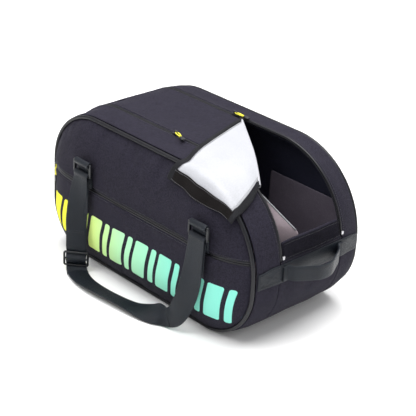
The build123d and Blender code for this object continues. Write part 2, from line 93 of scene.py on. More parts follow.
# ---- sizes of the fabric
TOP_LEFT, TOP_RIGHT, BOTTOM_RIGHT, BOTTOM_LEFT = 0.115, 0.153, 0.108, 0.090
FOLD_REAR = (0.018, LID_EDGE)
FOLD_FRONT = (0.200, -LID_EDGE)
PADDING = 0.0035
LINING_INSET = 0.008
LINING_SKIN = 0.0008
FRONT_DEPTH = FRONT_FACE - WALL_FACE - 0.0004
REAR_DEPTH = REAR_FACE - WALL_FACE - 0.0004
SOFT_EDGE = 0.0872


# ---- meshes
def mesh_object(name, verts, faces, material, uvs=None):
    """A mesh piece with one material; uvs holds one pair for each face corner."""
    mesh = bpy.data.meshes.new(name)
    mesh.from_pydata([tuple(v) for v in verts], [], [tuple(f) for f in faces])
    mesh.update()
    if uvs is not None:
        layer = mesh.uv_layers.new(name="metres")
        layer.data.foreach_set("uv", np.asarray(uvs, np.float32).ravel())
    mesh.polygons.foreach_set("use_smooth", [True] * len(mesh.polygons))
    mesh.materials.append(material)
    piece = bpy.data.objects.new(name, mesh)
    bpy.context.scene.collection.objects.link(piece)
    return piece


def grid(name, points, material, closed=False, out=None, thickness=0.0, levels=1, uv_turn=False):
    """A sheet on a grid of points; its normals look away from the point or along the vector out."""
    points = np.asarray(points, float)
    rows, columns = points.shape[:2]
    down = np.linalg.norm(np.diff(points, axis=0), axis=2).mean(1)
    across = np.linalg.norm(np.diff(points, axis=1), axis=2).mean(0)
    u = np.concatenate([[0], np.cumsum(down)])
    v = np.concatenate([[0], np.cumsum(across)])
    if closed:
        u = np.append(u, u[-1] + down.mean())
    faces, uvs = [], []
    for i in range(rows if closed else rows - 1):
        k = (i + 1) % rows
        for j in range(columns - 1):
            faces.append((i * columns + j, k * columns + j, k * columns + j + 1, i * columns + j + 1))
            corners = ((u[i], v[j]), (u[i + 1], v[j]), (u[i + 1], v[j + 1]), (u[i], v[j + 1]))
            uvs += [(b, a) for a, b in corners] if uv_turn else corners
    piece = mesh_object(name, points.reshape(-1, 3), faces, material, uvs)
    if out is not None:
        face_outwards(piece, out)
    if thickness:
        shell = piece.modifiers.new("thickness", "SOLIDIFY")
        shell.thickness = thickness
        shell.offset = -1.0
    if levels:
        soft = piece.modifiers.new("smooth", "SUBSURF")
        soft.levels = soft.render_levels = levels
    return piece


def face_outwards(piece, out):
    """Turn a sheet's faces so that they look away from a point, or along a direction."""
    total = 0.0
    for face in piece.data.polygons:
        way = Vector(out[1]) if out[0] == "along" else face.center - Vector(out[1])
        total += face.normal.dot(way) * face.area
    if total < 0:
        piece.data.flip_normals()


def run_along(points):
    """Distance along a row of points, from the first one to each."""
    return np.concatenate([[0], np.cumsum(np.linalg.norm(np.diff(points, axis=0), axis=1))])


def point_at(points, run, at):
    """The place on a row of points at one distance along it, or at several."""
    return np.stack([np.interp(at, run, points[:, k]) for k in range(3)], -1)


def ring(centre, across, up, sides):
    """Points of a round or oval ring; across and up are its half widths."""
    turns = [2 * math.pi * k / sides for k in range(sides)]
    return [centre + across * math.cos(turn) + up * math.sin(turn) for turn in turns]


def lofted(name, lofts, material, joined=False, places=None):
    """A mesh of skins, each over a list of rings, with closed ends unless its rings join up.

    places may give the UV pair of each vertex.
    """
    verts, faces = [], []
    for rings in lofts:
        base, count, sides = len(verts), len(rings), len(rings[0])
        verts += [point for points in rings for point in points]
        for i in range(count if joined else count - 1):
            here, there = base + i * sides, base + (i + 1) % count * sides
            for k in range(sides):
                n = (k + 1) % sides
                faces.append((here + k, here + n, there + n, there + k))
        if not joined:
            faces.append(tuple(range(base + sides - 1, base - 1, -1)))
            faces.append(tuple(range(len(verts) - sides, len(verts))))
    uvs = [places[v] for face in faces for v in face] if places else None
    return mesh_object(name, verts, faces, material, uvs)


def tube(name, path, radius, material, sides=10, closed=False):
    """A round tube along a dense path, with closed ends."""
    path = [Vector(p) for p in path]
    count = len(path)
    rings = []
    normal = None
    for i, point in enumerate(path):
        after = path[(i + 1) % count] if closed or i < count - 1 else point
        before = path[i - 1] if closed or i else point
        tangent = (after - before).normalized()
        if normal is None:
            normal = tangent.orthogonal().normalized()
        normal = (normal - tangent * normal.dot(tangent)).normalized()
        rings.append(ring(point, normal * radius, tangent.cross(normal) * radius, sides))
    return lofted(name, [rings], material, closed)


def spline(points, per_span=8):
    """A smooth curve through given points, as an array of closely spaced points."""
    points = np.asarray(points, float)
    padded = np.vstack([2 * points[0] - points[1], points, 2 * points[-1] - points[-2]])
    out = []
    for i in range(1, len(padded) - 2):
        p0, p1, p2, p3 = padded[i - 1:i + 3]
        for t in np.linspace(0, 1, per_span, endpoint=False):
            out.append(0.5 * (2 * p1 + (p2 - p0) * t + (2 * p0 - 5 * p1 + 4 * p2 - p3) * t**2
                              + (3 * p1 - p0 - 3 * p2 + p3) * t**3))
    out.append(padded[-2])
    return np.array(out)


RIBBON_SECTION = ((-0.5, 0.0), (-0.49, 0.38), (-0.46, 0.5), (-0.2, 0.5), (0.2, 0.5), (0.46, 0.5),
                  (0.49, 0.38), (0.5, 0.0), (0.49, -0.38), (0.46, -0.5), (0.2, -0.5), (-0.2, -0.5),
                  (-0.46, -0.5), (-0.49, -0.38))


def ribbon(name, centres, sides, width, thickness, material, per_span=8, keep=None):
    """Flat webbing along a route; sides gives the direction of its width at each route point.

    keep picks the stretch between two route points, for a route that several pieces share.
    """
    path = spline(centres, per_span)
    across = spline(sides, per_span)
    first, last = (keep[0] * per_span, keep[1] * per_span) if keep else (0, len(path) - 1)
    ways = np.gradient(path, axis=0)[first:last + 1]
    path, across = path[first:last + 1], across[first:last + 1]
    rings = []
    for point, way, side in zip(path, ways, across):
        tangent, side = Vector(way).normalized(), Vector(side)
        side = (side - tangent * side.dot(tangent)).normalized()
        up = tangent.cross(side)
        rings.append([Vector(point) + side * a * width + up * b * thickness for a, b in RIBBON_SECTION])
    places = [(a * width, at) for at in run_along(path) for a, _ in RIBBON_SECTION]
    piece = lofted(name, [rings], material, places=places)
    face_outwards_closed(piece)
    return piece


def face_outwards_closed(piece):
    """Turn a closed mesh's faces so that its volume is positive."""
    if sum(face.center.dot(face.normal) * face.area for face in piece.data.polygons) < 0:
        piece.data.flip_normals()


STITCH_PITCH, STITCH_LENGTH, STITCH_RADIUS = 0.0034, 0.0023, 0.00032
STITCH_STATIONS = ((-0.5, 0.2), (-0.34, 0.9), (0.0, 1.0), (0.34, 0.9), (0.5, 0.2))


def stitches(name, routes, material):
    """Rows of sewn stitches; each route is an array of points just above the cloth."""
    beads = []
    for route in routes:
        route = np.asarray(route, float)
        run = run_along(route)
        for at in np.arange(STITCH_PITCH / 2, run[-1], STITCH_PITCH):
            places = at, min(at + STITCH_PITCH / 2, run[-1]), max(at - STITCH_PITCH / 2, 0)
            middle, ahead, behind = (Vector(point_at(route, run, place)) for place in places)
            way = (ahead - behind).normalized()
            normal = way.orthogonal().normalized()
            side = way.cross(normal)
            rings = []
            for along, swell in STITCH_STATIONS:
                radius = STITCH_RADIUS * swell
                rings.append(ring(middle + way * along * STITCH_LENGTH, normal * radius, side * radius, 6))
            beads.append(rings)
    return lofted(name, beads, material)


# ---- the bag's outline
SIDES = (
    2 * HALF_LENGTH + CROWN - TOP_LEFT - TOP_RIGHT,
    TOP_RIGHT * math.pi / 2,
    HEIGHT + CROWN - TOP_RIGHT - BOTTOM_RIGHT,
    BOTTOM_RIGHT * math.pi / 2,
    2 * HALF_LENGTH + CROWN - BOTTOM_RIGHT - BOTTOM_LEFT,
    BOTTOM_LEFT * math.pi / 2,
    HEIGHT + CROWN - BOTTOM_LEFT - TOP_LEFT,
    TOP_LEFT * math.pi / 2,
)
STARTS = np.concatenate([[0], np.cumsum(SIDES)])
OUT_WAYS = ((0, 1), (1, 0), (0, -1), (-1, 0))
PERIMETER = STARTS[-1]


def outline(station, y, inset=0.0):
    """X and Z at a distance round the outline, from the end of the top left corner."""
    station, y, inset = np.broadcast_arrays(np.asarray(station, float) % PERIMETER, y, inset)
    share = np.clip((HALF_DEPTH - np.abs(y)) / (HALF_DEPTH - GUSSET_EDGE), 0, 1)
    rise = CROWN * np.sin(share * math.pi / 2)
    left, right = -HALF_LENGTH + inset, HALF_LENGTH + rise - inset
    low, top = inset, HEIGHT + rise - inset
    tl, tr, br, bl = (np.maximum(r - inset, 0.001) for r in (TOP_LEFT, TOP_RIGHT, BOTTOM_RIGHT, BOTTOM_LEFT))
    side = np.clip(np.searchsorted(STARTS, station, side="right") - 1, 0, 7)
    f = (station - STARTS[side]) / np.array(SIDES)[side]
    corners = ((right - tr, top - tr, tr), (right - br, low + br, br), (left + bl, low + bl, bl),
               (left + tl, top - tl, tl))
    cosine, sine = np.cos(f * math.pi / 2), np.sin(f * math.pi / 2)
    xs, zs = [], []
    for k, (x, z, radius) in enumerate(corners):
        old_x, old_z, old_radius = corners[k - 1]
        out_x, out_z = OUT_WAYS[k]
        next_x, next_z = OUT_WAYS[(k + 1) % 4]
        from_x, from_z = old_x + out_x * old_radius, old_z + out_z * old_radius
        to_x, to_z = x + out_x * radius, z + out_z * radius
        xs += [from_x + f * (to_x - from_x), x + radius * (out_x * cosine + next_x * sine)]
        zs += [from_z + f * (to_z - from_z), z + radius * (out_z * cosine + next_z * sine)]
    return np.choose(side, xs), np.choose(side, zs)


def station_near(x, z):
    """The distance round the outline of the place nearest to a point."""
    stations = np.linspace(0, PERIMETER, 8000)
    px, pz = outline(stations, 0.0)
    return stations[np.argmin((px - x) ** 2 + (pz - z) ** 2)]


STATION_SEAM = station_near(SEAM_LEFT, HEIGHT) - PERIMETER
STATION_ZIP_END = station_near(HALF_LENGTH + CROWN, ZIP_END)
STATION_SILL = station_near(HALF_LENGTH, SILL)
STATION_BASE_RIGHT = STARTS[4]
STATION_BASE_LEFT = STARTS[5]


def ripple(a, b, seed, size):
    """Smooth noise from -1 to 1 over two arrays of distances."""
    a, b = np.broadcast_arrays(a, b)
    out = [noise.noise(Vector((p / size, q / size, seed))) for p, q in zip(a.ravel(), b.ravel())]
    return np.array(out).reshape(a.shape)


def cloth_wave(station, y):
    """How far the shell's cloth stands in or out between its seams."""
    station, y = np.broadcast_arrays(np.asarray(station, float), y)
    depth = np.abs(y)
    gusset = np.clip((depth - GUSSET_EDGE) / (WALL_FACE - GUSSET_EDGE), 0, 1)
    middle = np.clip(1 - (depth / LID_EDGE) ** 2, 0, 1)
    tape = (depth > LID_EDGE) & (depth < GUSSET_EDGE)
    span = np.where(tape, 0.0, np.where(depth >= GUSSET_EDGE, np.sin(gusset * math.pi), middle))
    slow = ripple(station, y * 1.4, 3.1, 0.085) * 0.0036
    quick = ripple(station * 1.6, y * 0.7, 7.7, 0.026) * 0.0017
    edge = np.minimum(np.abs(depth - GUSSET_EDGE), np.abs(depth - WALL_FACE))
    pucker = ripple(station, y * 0.2, 5.2, 0.011) * 0.0009 * np.exp(-edge / 0.012) * np.minimum(edge / 0.003, 1)
    upright = np.cos((station - STARTS[0] - SIDES[0] / 2) / PERIMETER * 2 * math.pi)
    floor = np.clip((station - STATION_BASE_RIGHT + 0.03) / 0.03, 0, 1)
    floor *= np.clip((STATION_BASE_LEFT + 0.03 - station) / 0.03, 0, 1)
    sag = -0.0020 * np.clip(upright, 0, 1)
    return (span * (slow + quick + sag) + pucker) * (1 - floor)


def shell(station, y, lift=0.0, soft=True):
    """Points on the bag's shell; lift is how far they stand out from it."""
    station, y = np.broadcast_arrays(np.asarray(station, float), y)
    wave = cloth_wave(station, y) if soft else 0.0
    x, z = outline(station, y, -(lift + wave))
    return np.stack([x, y, np.maximum(z, 0.0003)], -1)


def shell_grid(first, last, rows, columns):
    """A grid of shell points between two stations, over the width between the gussets."""
    station = first + (last - first) * np.linspace(0, 1, rows)[:, None]
    return shell(station, -GUSSET_EDGE + 2 * GUSSET_EDGE * np.linspace(0, 1, columns)[None, :])


# ---- end panels
CORNER_CENTRES = (
    (-HALF_LENGTH + TOP_LEFT, HEIGHT - TOP_LEFT, TOP_LEFT, -1, 1),
    (HALF_LENGTH - TOP_RIGHT, HEIGHT - TOP_RIGHT, TOP_RIGHT, 1, 1),
    (HALF_LENGTH - BOTTOM_RIGHT, BOTTOM_RIGHT, BOTTOM_RIGHT, 1, -1),
    (-HALF_LENGTH + BOTTOM_LEFT, BOTTOM_LEFT, BOTTOM_LEFT, -1, -1),
)


def edge_distance(x, z):
    """How far inside the outline of an end panel a point lies."""
    inside = np.minimum.reduce([x + HALF_LENGTH, HALF_LENGTH - x, z, HEIGHT - z])
    for centre_x, centre_z, radius, way_x, way_z in CORNER_CENTRES:
        out_x, out_z = way_x * (x - centre_x), way_z * (z - centre_z)
        in_corner = (out_x > 0) & (out_z > 0)
        inside = np.where(in_corner, radius - np.hypot(out_x, out_z), inside)
    return inside


def side_limits(z, inset):
    """The left and right ends of an end panel's row at height z."""
    left, right = np.full_like(z, -HALF_LENGTH + inset), np.full_like(z, HALF_LENGTH - inset)
    for centre_x, centre_z, radius, way_x, way_z in CORNER_CENTRES:
        reach = radius - inset
        past = np.clip(way_z * (z - centre_z), 0, reach)
        pull = reach - np.sqrt(reach**2 - past**2)
        if way_x < 0:
            left = left + pull
        else:
            right = right - pull
    return left, right


def dome_height(x, z, depth):
    """How far an end panel stands out from its wall at a point."""
    inside = np.maximum(edge_distance(x, z) - PIPE_RADIUS, 0)
    share = np.minimum(inside / (SOFT_EDGE - PIPE_RADIUS), 1) ** 0.72
    return depth * np.sin(share * math.pi / 2)


PANEL_INSET = 0.0048


def panel_points(z_low, z_high, depth, side, rows, columns, seed, lip):
    """A grid of points on an end panel between two heights, with puckers at its piping."""
    v = 0.5 - 0.5 * np.cos(np.linspace(0, math.pi, rows))
    z = z_low + v * (z_high - z_low)
    left, right = side_limits(z, PANEL_INSET)
    u = 0.5 - 0.5 * np.cos(np.linspace(0, math.pi, columns))
    u = 0.65 * u + 0.35 * np.linspace(0, 1, columns)
    x = left[:, None] + u[None, :] * (right - left)[:, None]
    z = z[:, None] + 0 * x
    inside = edge_distance(x, z)
    height = dome_height(x, z, depth)
    slow = ripple(x, z * 1.3, seed, 0.12) * 0.0028
    quick = ripple(x * 1.2, z, seed + 4, 0.035) * 0.0014
    angle = np.arctan2(z - HEIGHT / 2, x)
    pucker = ripple(angle * 0.26, inside * 0.15, seed + 9, 0.011) * 0.0016
    pucker = pucker * np.exp(-inside / 0.016) * np.clip((inside - PANEL_INSET) / 0.004, 0, 1)
    height = height + (slow + quick) * np.clip(inside / 0.05, 0, 1) - 0.0012 + pucker
    height = np.where(inside < 0.012, np.maximum(height, 0), height)
    near_zip = np.minimum(np.abs(z - POCKET_LOW), np.abs(z - POCKET_HIGH))
    height = height + lip * np.exp(-((near_zip - 0.006) / 0.005) ** 2) * np.clip(inside / 0.03, 0, 1)
    y = side * (WALL_FACE + height)
    return np.stack([x, y, z], -1)


CLOTH_FRAMES, CLOTH_GROWTH = 20, 0.02
MOST_OUTWARD, MOST_INWARD = 0.0008, 0.0045


def soften(piece, shape, gravity):
    """Let a panel's cloth settle, held at its seams, and keep it near where it was cut."""
    rows, columns = shape
    pinned = [i * columns + j for i in range(rows) for j in range(columns)
              if i in (0, rows - 1) or j in (0, columns - 1)]
    group = piece.vertex_groups.new(name="seams")
    group.add(pinned, 1.0, "REPLACE")
    hidden = [(m, m.show_viewport) for m in piece.modifiers]
    for modifier, shown in hidden:
        modifier.show_viewport = False
    cloth = piece.modifiers.new("cloth", "CLOTH")
    settings = cloth.settings
    settings.quality = 5
    settings.mass = 0.25
    settings.tension_stiffness = settings.compression_stiffness = 12.0
    settings.shear_stiffness = 4.0
    settings.bending_stiffness = 0.35
    settings.vertex_group_mass = group.name
    settings.shrink_min = -CLOTH_GROWTH
    scene = bpy.context.scene
    old_gravity = scene.gravity.copy()
    scene.gravity = gravity
    cloth.point_cache.frame_start, cloth.point_cache.frame_end = 1, CLOTH_FRAMES
    for number in range(1, CLOTH_FRAMES + 1):
        scene.frame_set(number)
    settled = piece.evaluated_get(bpy.context.evaluated_depsgraph_get())
    count = len(piece.data.vertices)
    after, before = np.zeros(count * 3), np.zeros(count * 3)
    settled.data.vertices.foreach_get("co", after)
    piece.data.vertices.foreach_get("co", before)
    piece.modifiers.remove(cloth)
    for modifier, shown in hidden:
        modifier.show_viewport = shown
    move = (after - before).reshape(-1, 3)
    way = 1.0 if gravity[1] > 0 else -1.0
    move[:, 1] = way * np.clip(way * move[:, 1], -MOST_INWARD, MOST_OUTWARD)
    length = np.linalg.norm(move, axis=1, keepdims=True)
    move *= np.minimum(1.0, MOST_INWARD / np.maximum(length, 1e-9))
    piece.data.vertices.foreach_set("co", before + move.ravel())
    piece.data.update()
    scene.gravity = old_gravity
    scene.frame_set(1)


# ---- materials
def new_material(name, colour, roughness, specular=0.5, sheen=0.0, coat=0.0, metallic=0.0):
    """A material whose even values are set on the shader itself."""
    material = bpy.data.materials.new(name)
    material.use_nodes = True
    shader = material.node_tree.nodes["Principled BSDF"]
    values = {"Base Color": (*colour, 1), "Roughness": roughness, "Specular IOR Level": specular,
              "Sheen Weight": sheen, "Sheen Roughness": 0.45, "Coat Weight": coat, "Coat Roughness": 0.12,
              "Metallic": metallic}
    for socket, value in values.items():
        shader.inputs[socket].default_value = value
    return material


class Nodes:
    """Small helper that adds nodes to a material and joins them."""

    def __init__(self, material):
        self.tree = material.node_tree
        self.shader = self.tree.nodes["Principled BSDF"]
        found = [node for node in self.tree.nodes if node.type == "TEX_COORD"]
        self.coords = found[0] if found else self.tree.nodes.new("ShaderNodeTexCoord")

    def set(self, socket, value):
        """Join another node's output to a socket, or give the socket a fixed value."""
        if isinstance(value, bpy.types.NodeSocket):
            self.tree.links.new(value, socket)
        else:
            socket.default_value = value

    def add(self, kind, inputs=None, **settings):
        node = self.tree.nodes.new(kind)
        for key, value in settings.items():
            setattr(node, key, value)
        for key, value in (inputs or {}).items():
            self.set(node.inputs[key], value)
        return node

    def math(self, operation, a, b=0.0, c=0.0):
        return self.add("ShaderNodeMath", {0: a, 1: b, 2: c}, operation=operation).outputs[0]

    def place(self, coords="Object", scale=(1, 1, 1), turn=0.0):
        vector = self.coords.outputs[coords]
        inputs = {"Vector": vector, "Scale": scale, "Rotation": (0, 0, turn)}
        return self.add("ShaderNodeMapping", inputs).outputs[0]

    def noise(self, vector, scale, detail=4.0, rough=0.55):
        inputs = {"Vector": vector, "Scale": scale, "Detail": detail, "Roughness": rough}
        return self.add("ShaderNodeTexNoise", inputs).outputs[0]

    def wave(self, vector, scale, direction="X", distortion=0.0):
        inputs = {"Vector": vector, "Scale": scale, "Distortion": distortion}
        node = self.add("ShaderNodeTexWave", inputs, wave_type="BANDS", bands_direction=direction)
        return node.outputs["Fac"]

    def mix(self, factor, a, b):
        node = self.add("ShaderNodeMix", data_type="RGBA")
        for key, value in ((0, factor), (6, a), (7, b)):
            self.set(node.inputs[key], (*value, 1) if isinstance(value, tuple) else value)
        return node.outputs[2]

    def ramp(self, factor, stops):
        node = self.add("ShaderNodeValToRGB", {"Fac": factor})
        while len(node.color_ramp.elements) < len(stops):
            node.color_ramp.elements.new(0.5)
        for element, (place, colour) in zip(node.color_ramp.elements, stops):
            element.position = place
            element.color = (*colour, 1)
        return node.outputs[0]

    def link(self, output, name):
        self.tree.links.new(output, self.shader.inputs[name])

    def bump(self, height, distance, strength=1.0, below=None):
        inputs = {"Height": height, "Distance": distance, "Strength": strength}
        if below is not None:
            inputs["Normal"] = below
        return self.add("ShaderNodeBump", inputs).outputs[0]


def woven(name, dark, light, roughness, thread=0.0006, sheen=0.02, depth=0.00012, heather=1.0, specular=0.3):
    """Plain-weave cloth: crossing threads, heather colour, faint dirt and creases."""
    material = new_material(name, light, roughness, specular, sheen)
    n = Nodes(material)
    warp, weft = (n.wave(n.place("UV"), 1 / thread / 3.2, way) for way in "XY")
    weave = n.math("MULTIPLY", warp, weft)
    flecks = n.math("ADD", *(n.noise(n.place("UV", scale), 900.0, 2.0) for scale in ((1, 5, 1), (5, 1, 1))))
    mottle = n.noise(n.place(), 28.0, 5.0)
    grain = n.math("SUBTRACT", n.noise(n.place(), 420.0, 3.0, 0.7), 0.5)
    mixed = n.math("MULTIPLY_ADD", flecks, 0.42 * heather, 0.08)
    for layer, share in ((grain, 1.3 * heather), (mottle, 0.20), (weave, 0.10)):
        mixed = n.math("MULTIPLY_ADD", layer, share, mixed)
    n.link(n.ramp(mixed, ((0.30, dark), (0.78, light))), "Base Color")
    n.link(n.math("MULTIPLY_ADD", mottle, 0.16, roughness - 0.08), "Roughness")
    creases = n.bump(n.noise(n.place(), 60.0, 5.0, 0.6), 0.0012, 0.5)
    n.link(n.bump(weave, depth, 1.0, creases), "Normal")
    return material


def ribbed(name, dark, light, roughness, rib, direction="Y", coords="UV", depth=0.0003, specular=0.4,
           sheen=0.1, twill=0.0):
    """Ribbed narrow cloth such as grosgrain, hook tape or webbing."""
    material = new_material(name, light, roughness, specular, sheen)
    n = Nodes(material)
    turned = n.place(coords, turn=twill)
    ribs = n.wave(turned, 1 / rib / 3.2, direction, 0.3)
    cross = n.wave(turned, 1 / rib / 1.6, "X" if direction == "Y" else "Y")
    mottle = n.noise(n.place(), 40.0, 5.0)
    mixed = n.math("MULTIPLY", n.math("ADD", ribs, mottle), 0.5)
    n.link(n.ramp(mixed, ((0.25, dark), (0.8, light))), "Base Color")
    n.link(n.math("MULTIPLY_ADD", mottle, 0.2, roughness - 0.1), "Roughness")
    n.link(n.bump(n.math("MULTIPLY_ADD", cross, 0.35, ribs), depth, 0.8), "Normal")
    return material


def moulded(name, colour, roughness, grain=0.00008, coat=0.0, metallic=0.0, worn=(0.25, 0.25, 0.27), wear=0.25):
    """Moulded plastic, coated tape or metal with fine grain and rubbed edges."""
    material = new_material(name, colour, roughness, 0.5 if metallic else 0.3, 0.0, coat, metallic)
    n = Nodes(material)
    mottle = n.noise(n.place(), 55.0, 5.0)
    edge = n.add("ShaderNodeNewGeometry").outputs["Pointiness"]
    rub = n.ramp(edge, ((0.52, (0, 0, 0)), (0.66, (1, 1, 1))))
    rub = n.math("MULTIPLY", n.math("MULTIPLY", rub, mottle), wear)
    dim = tuple(c * 0.72 for c in colour)
    n.link(n.mix(rub, n.mix(mottle, dim, colour), worn), "Base Color")
    n.link(n.math("MULTIPLY_ADD", mottle, 0.18, roughness - 0.06), "Roughness")
    n.link(n.bump(n.noise(n.place(), 1400.0, 3.0), grain, 0.6), "Normal")
    return material


SHELL_DARK, SHELL_LIGHT = (0.0062, 0.0056, 0.0092), (0.0245, 0.0222, 0.0350)
PRINT_LOW, PRINT_HIGH = 0.041, 0.113
PRINT_STOPS = ((0.0, (0.90, 0.86, 0.02)), (0.15, (0.86, 0.88, 0.04)), (0.30, (0.62, 0.86, 0.26)),
               (0.45, (0.44, 0.85, 0.50)), (0.68, (0.26, 0.80, 0.62)), (1.0, (0.22, 0.74, 0.62)))
PRINT_PERIOD, PRINT_WIDE, PRINT_NARROW, PRINT_SLANT = 0.0600, 0.0315, 0.0125, 0.22


def printed(base):
    """The pocket's cloth with a row of slanted bars printed on it, yellow fading to mint."""
    material = base.copy()
    material.name = "printed_cloth"
    n = Nodes(material)
    cloth = n.shader.inputs["Base Color"].links[0].from_socket
    place = n.add("ShaderNodeSeparateXYZ", {0: n.coords.outputs["Object"]})
    x, z = place.outputs[0], place.outputs[2]
    middle = (PRINT_LOW + PRINT_HIGH) / 2
    rise = n.math("SUBTRACT", z, middle)
    run = n.math("SUBTRACT", n.math("ADD", x, 0.2440), n.math("MULTIPLY", rise, PRINT_SLANT))
    cell = n.math("FLOORED_MODULO", run, PRINT_PERIOD)

    def bar(middle_run, half_width, half_height, radius):
        """1 inside a bar with rounded corners, 0 outside."""
        off = n.math("ABSOLUTE", n.math("SUBTRACT", cell, middle_run))
        a = n.math("MAXIMUM", n.math("SUBTRACT", off, half_width - radius), 0.0)
        b = n.math("MAXIMUM", n.math("SUBTRACT", n.math("ABSOLUTE", rise), half_height - radius), 0.0)
        away = n.math("SQRT", n.math("ADD", n.math("MULTIPLY", a, a), n.math("MULTIPLY", b, b)))
        return n.math("LESS_THAN", away, radius)

    half = (PRINT_HIGH - PRINT_LOW) / 2
    wide = bar(PRINT_WIDE / 2 + 0.002, PRINT_WIDE / 2, half, 0.0045)
    narrow = bar(PRINT_PERIOD - PRINT_NARROW / 2 - 0.0055, PRINT_NARROW / 2, half, 0.0045)
    mask = n.math("MAXIMUM", wide, narrow)
    inner = n.math("MULTIPLY", n.math("GREATER_THAN", run, 0.0), n.math("LESS_THAN", run, 8 * PRINT_PERIOD))
    mask = n.math("MULTIPLY", mask, inner)
    share = n.math("DIVIDE", n.math("ADD", x, HALF_LENGTH), 2 * HALF_LENGTH)
    ink = n.ramp(share, PRINT_STOPS)
    crackle = n.noise(n.place(), 700.0, 3.0)
    ink = n.mix(n.math("MULTIPLY", crackle, 0.10), ink, (0.55, 0.6, 0.55))
    n.link(n.mix(mask, cloth, ink), "Base Color")
    return material


shell_cloth = woven("shell_cloth", SHELL_DARK, SHELL_LIGHT, 0.80, sheen=0.01, specular=0.10)
pocket_cloth = printed(shell_cloth)
base_cloth = woven("base_cloth", (0.008, 0.008, 0.010), (0.022, 0.021, 0.025), 0.6, sheen=0.01)
lining_cloth = woven("lining_cloth", (0.006, 0.007, 0.014), (0.018, 0.020, 0.040), 0.5, 0.0004, sheen=0.02)
white_cloth = woven("white_cloth", (0.37, 0.375, 0.40), (0.53, 0.54, 0.575), 0.42, 0.0004, sheen=0.02,
                    depth=0.00004, heather=0.35, specular=0.4)
thermal_cloth = woven("thermal_cloth", (0.50, 0.41, 0.45), (0.80, 0.68, 0.73), 0.4, 0.0004, sheen=0.1,
                      depth=0.00004, heather=0.3, specular=0.4)
# A darker copy of the thermal cloth: painted shade on the thermal sheet that lines the rear wall inside the
# bag.
shaded_thermal_cloth = woven("shaded_thermal_cloth", (0.13, 0.115, 0.145), (0.25, 0.225, 0.275), 0.4, 0.0004, sheen=0.0,
                     depth=0.00004, heather=0.3, specular=0.2)
piping_gloss = moulded("piping_gloss", (0.006, 0.006, 0.009), 0.34, 0.00004, coat=0.05, wear=0.15)
tape_satin = moulded("tape_satin", (0.006, 0.006, 0.009), 0.36, 0.00005, coat=0.05, wear=0.12)
webbing_satin = ribbed("webbing_satin", (0.0045, 0.0060, 0.0088), (0.0155, 0.0198, 0.0280), 0.40, 0.0016, "Y",
                       specular=0.22, sheen=0.0, twill=0.6)
binding_rib = ribbed("binding_rib", (0.005, 0.005, 0.006), (0.022, 0.022, 0.026), 0.6, 0.0012, "Y", sheen=0.0,
                     specular=0.10)
hook_rib = ribbed("hook_rib", (0.004, 0.0035, 0.0035), (0.018, 0.0155, 0.0155), 0.8, 0.0011, "X", depth=0.0005,
                  sheen=0.0, specular=0.06)
loop_pile = woven("loop_pile", (0.003, 0.003, 0.005), (0.013, 0.012, 0.019), 0.9, 0.0009, sheen=0.01,
                  depth=0.0006, specular=0.05)
ring_plastic = moulded("ring_plastic", (0.008, 0.009, 0.012), 0.28, 0.00005, coat=0.05, wear=0.15)
slider_metal = moulded("slider_metal", (0.05, 0.05, 0.055), 0.32, 0.00004, metallic=0.85,
                       worn=(0.45, 0.45, 0.46), wear=0.5)
stop_metal = moulded("stop_metal", (0.50, 0.50, 0.52), 0.28, 0.00003, metallic=1.0, worn=(0.85, 0.85, 0.86))
pull_yellow = ribbed("pull_yellow", (0.62, 0.58, 0.03), (0.92, 0.86, 0.08), 0.5, 0.0011, "Y", "Object", 0.0002)
pull_plastic = moulded("pull_plastic", (0.022, 0.023, 0.026), 0.45, 0.00008, wear=0.3)
thread_grey = ribbed("thread_grey", (0.07, 0.07, 0.08), (0.20, 0.20, 0.22), 0.6, 0.0005, "X", "Object", 0.0001)
thread_dark = ribbed("thread_dark", (0.015, 0.015, 0.018), (0.05, 0.05, 0.06), 0.5, 0.0005, "X", "Object",
                     0.0001)
white_rib = ribbed("white_rib", (0.24, 0.245, 0.26), (0.46, 0.47, 0.49), 0.5, 0.0011, "Y", depth=0.0003)
board_grain = moulded("board_grain", (0.05, 0.05, 0.055), 0.5, 0.0001)


def finish_piece(piece, body, slot, *nodes, blend=None):
    """Hide the CAD pieces that a piece stands for, then hang it on its body, or bake its place when blend is
    given; slot is not used.
    """
    if nodes:
        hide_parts(*nodes)
    if blend:
        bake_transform(piece)
    else:
        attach(piece, body)
    return piece


def repaint(node, material):
    """Give a CAD piece that stays in view its finished material."""
    piece = frame["nodes"][node]
    piece.data.materials.clear()
    piece.data.materials.append(material)


# ---- camera, light and floor
def make_camera():
    """The camera, placed and turned as fitted to the photo."""
    position = Vector((1.4314, -1.4250, 1.1334))
    yaw, pitch, roll = math.radians(44.73), math.radians(26.52), math.radians(3.55)
    forward = Vector((-math.sin(yaw) * math.cos(pitch), math.cos(yaw) * math.cos(pitch), -math.sin(pitch)))
    level = forward.cross(Vector((0, 0, 1))).normalized()
    upright = level.cross(forward)
    across = level * math.cos(roll) + upright * math.sin(roll)
    up = upright * math.cos(roll) - level * math.sin(roll)
    data = bpy.data.cameras.new("camera")
    data.sensor_width = 36.0
    data.lens = 109.0
    data.clip_start, data.clip_end = 0.05, 40.0
    camera = bpy.data.objects.new("camera", data)
    bpy.context.scene.collection.objects.link(camera)
    turn = Matrix((across, up, -forward)).transposed()
    camera.matrix_world = Matrix.Translation(position) @ turn.to_4x4()
    bpy.context.scene.camera = camera


def make_light(name, position, size, power):
    """A square lamp that looks at the bag."""
    data = bpy.data.lights.new(name, "AREA")
    data.shape = "SQUARE"
    data.size = size
    data.energy = power
    lamp = bpy.data.objects.new(name, data)
    bpy.context.scene.collection.objects.link(lamp)
    lamp.location = position
    aim = Vector((0, 0, 0.12)) - lamp.location
    lamp.rotation_euler = aim.to_track_quat("-Z", "Y").to_euler()


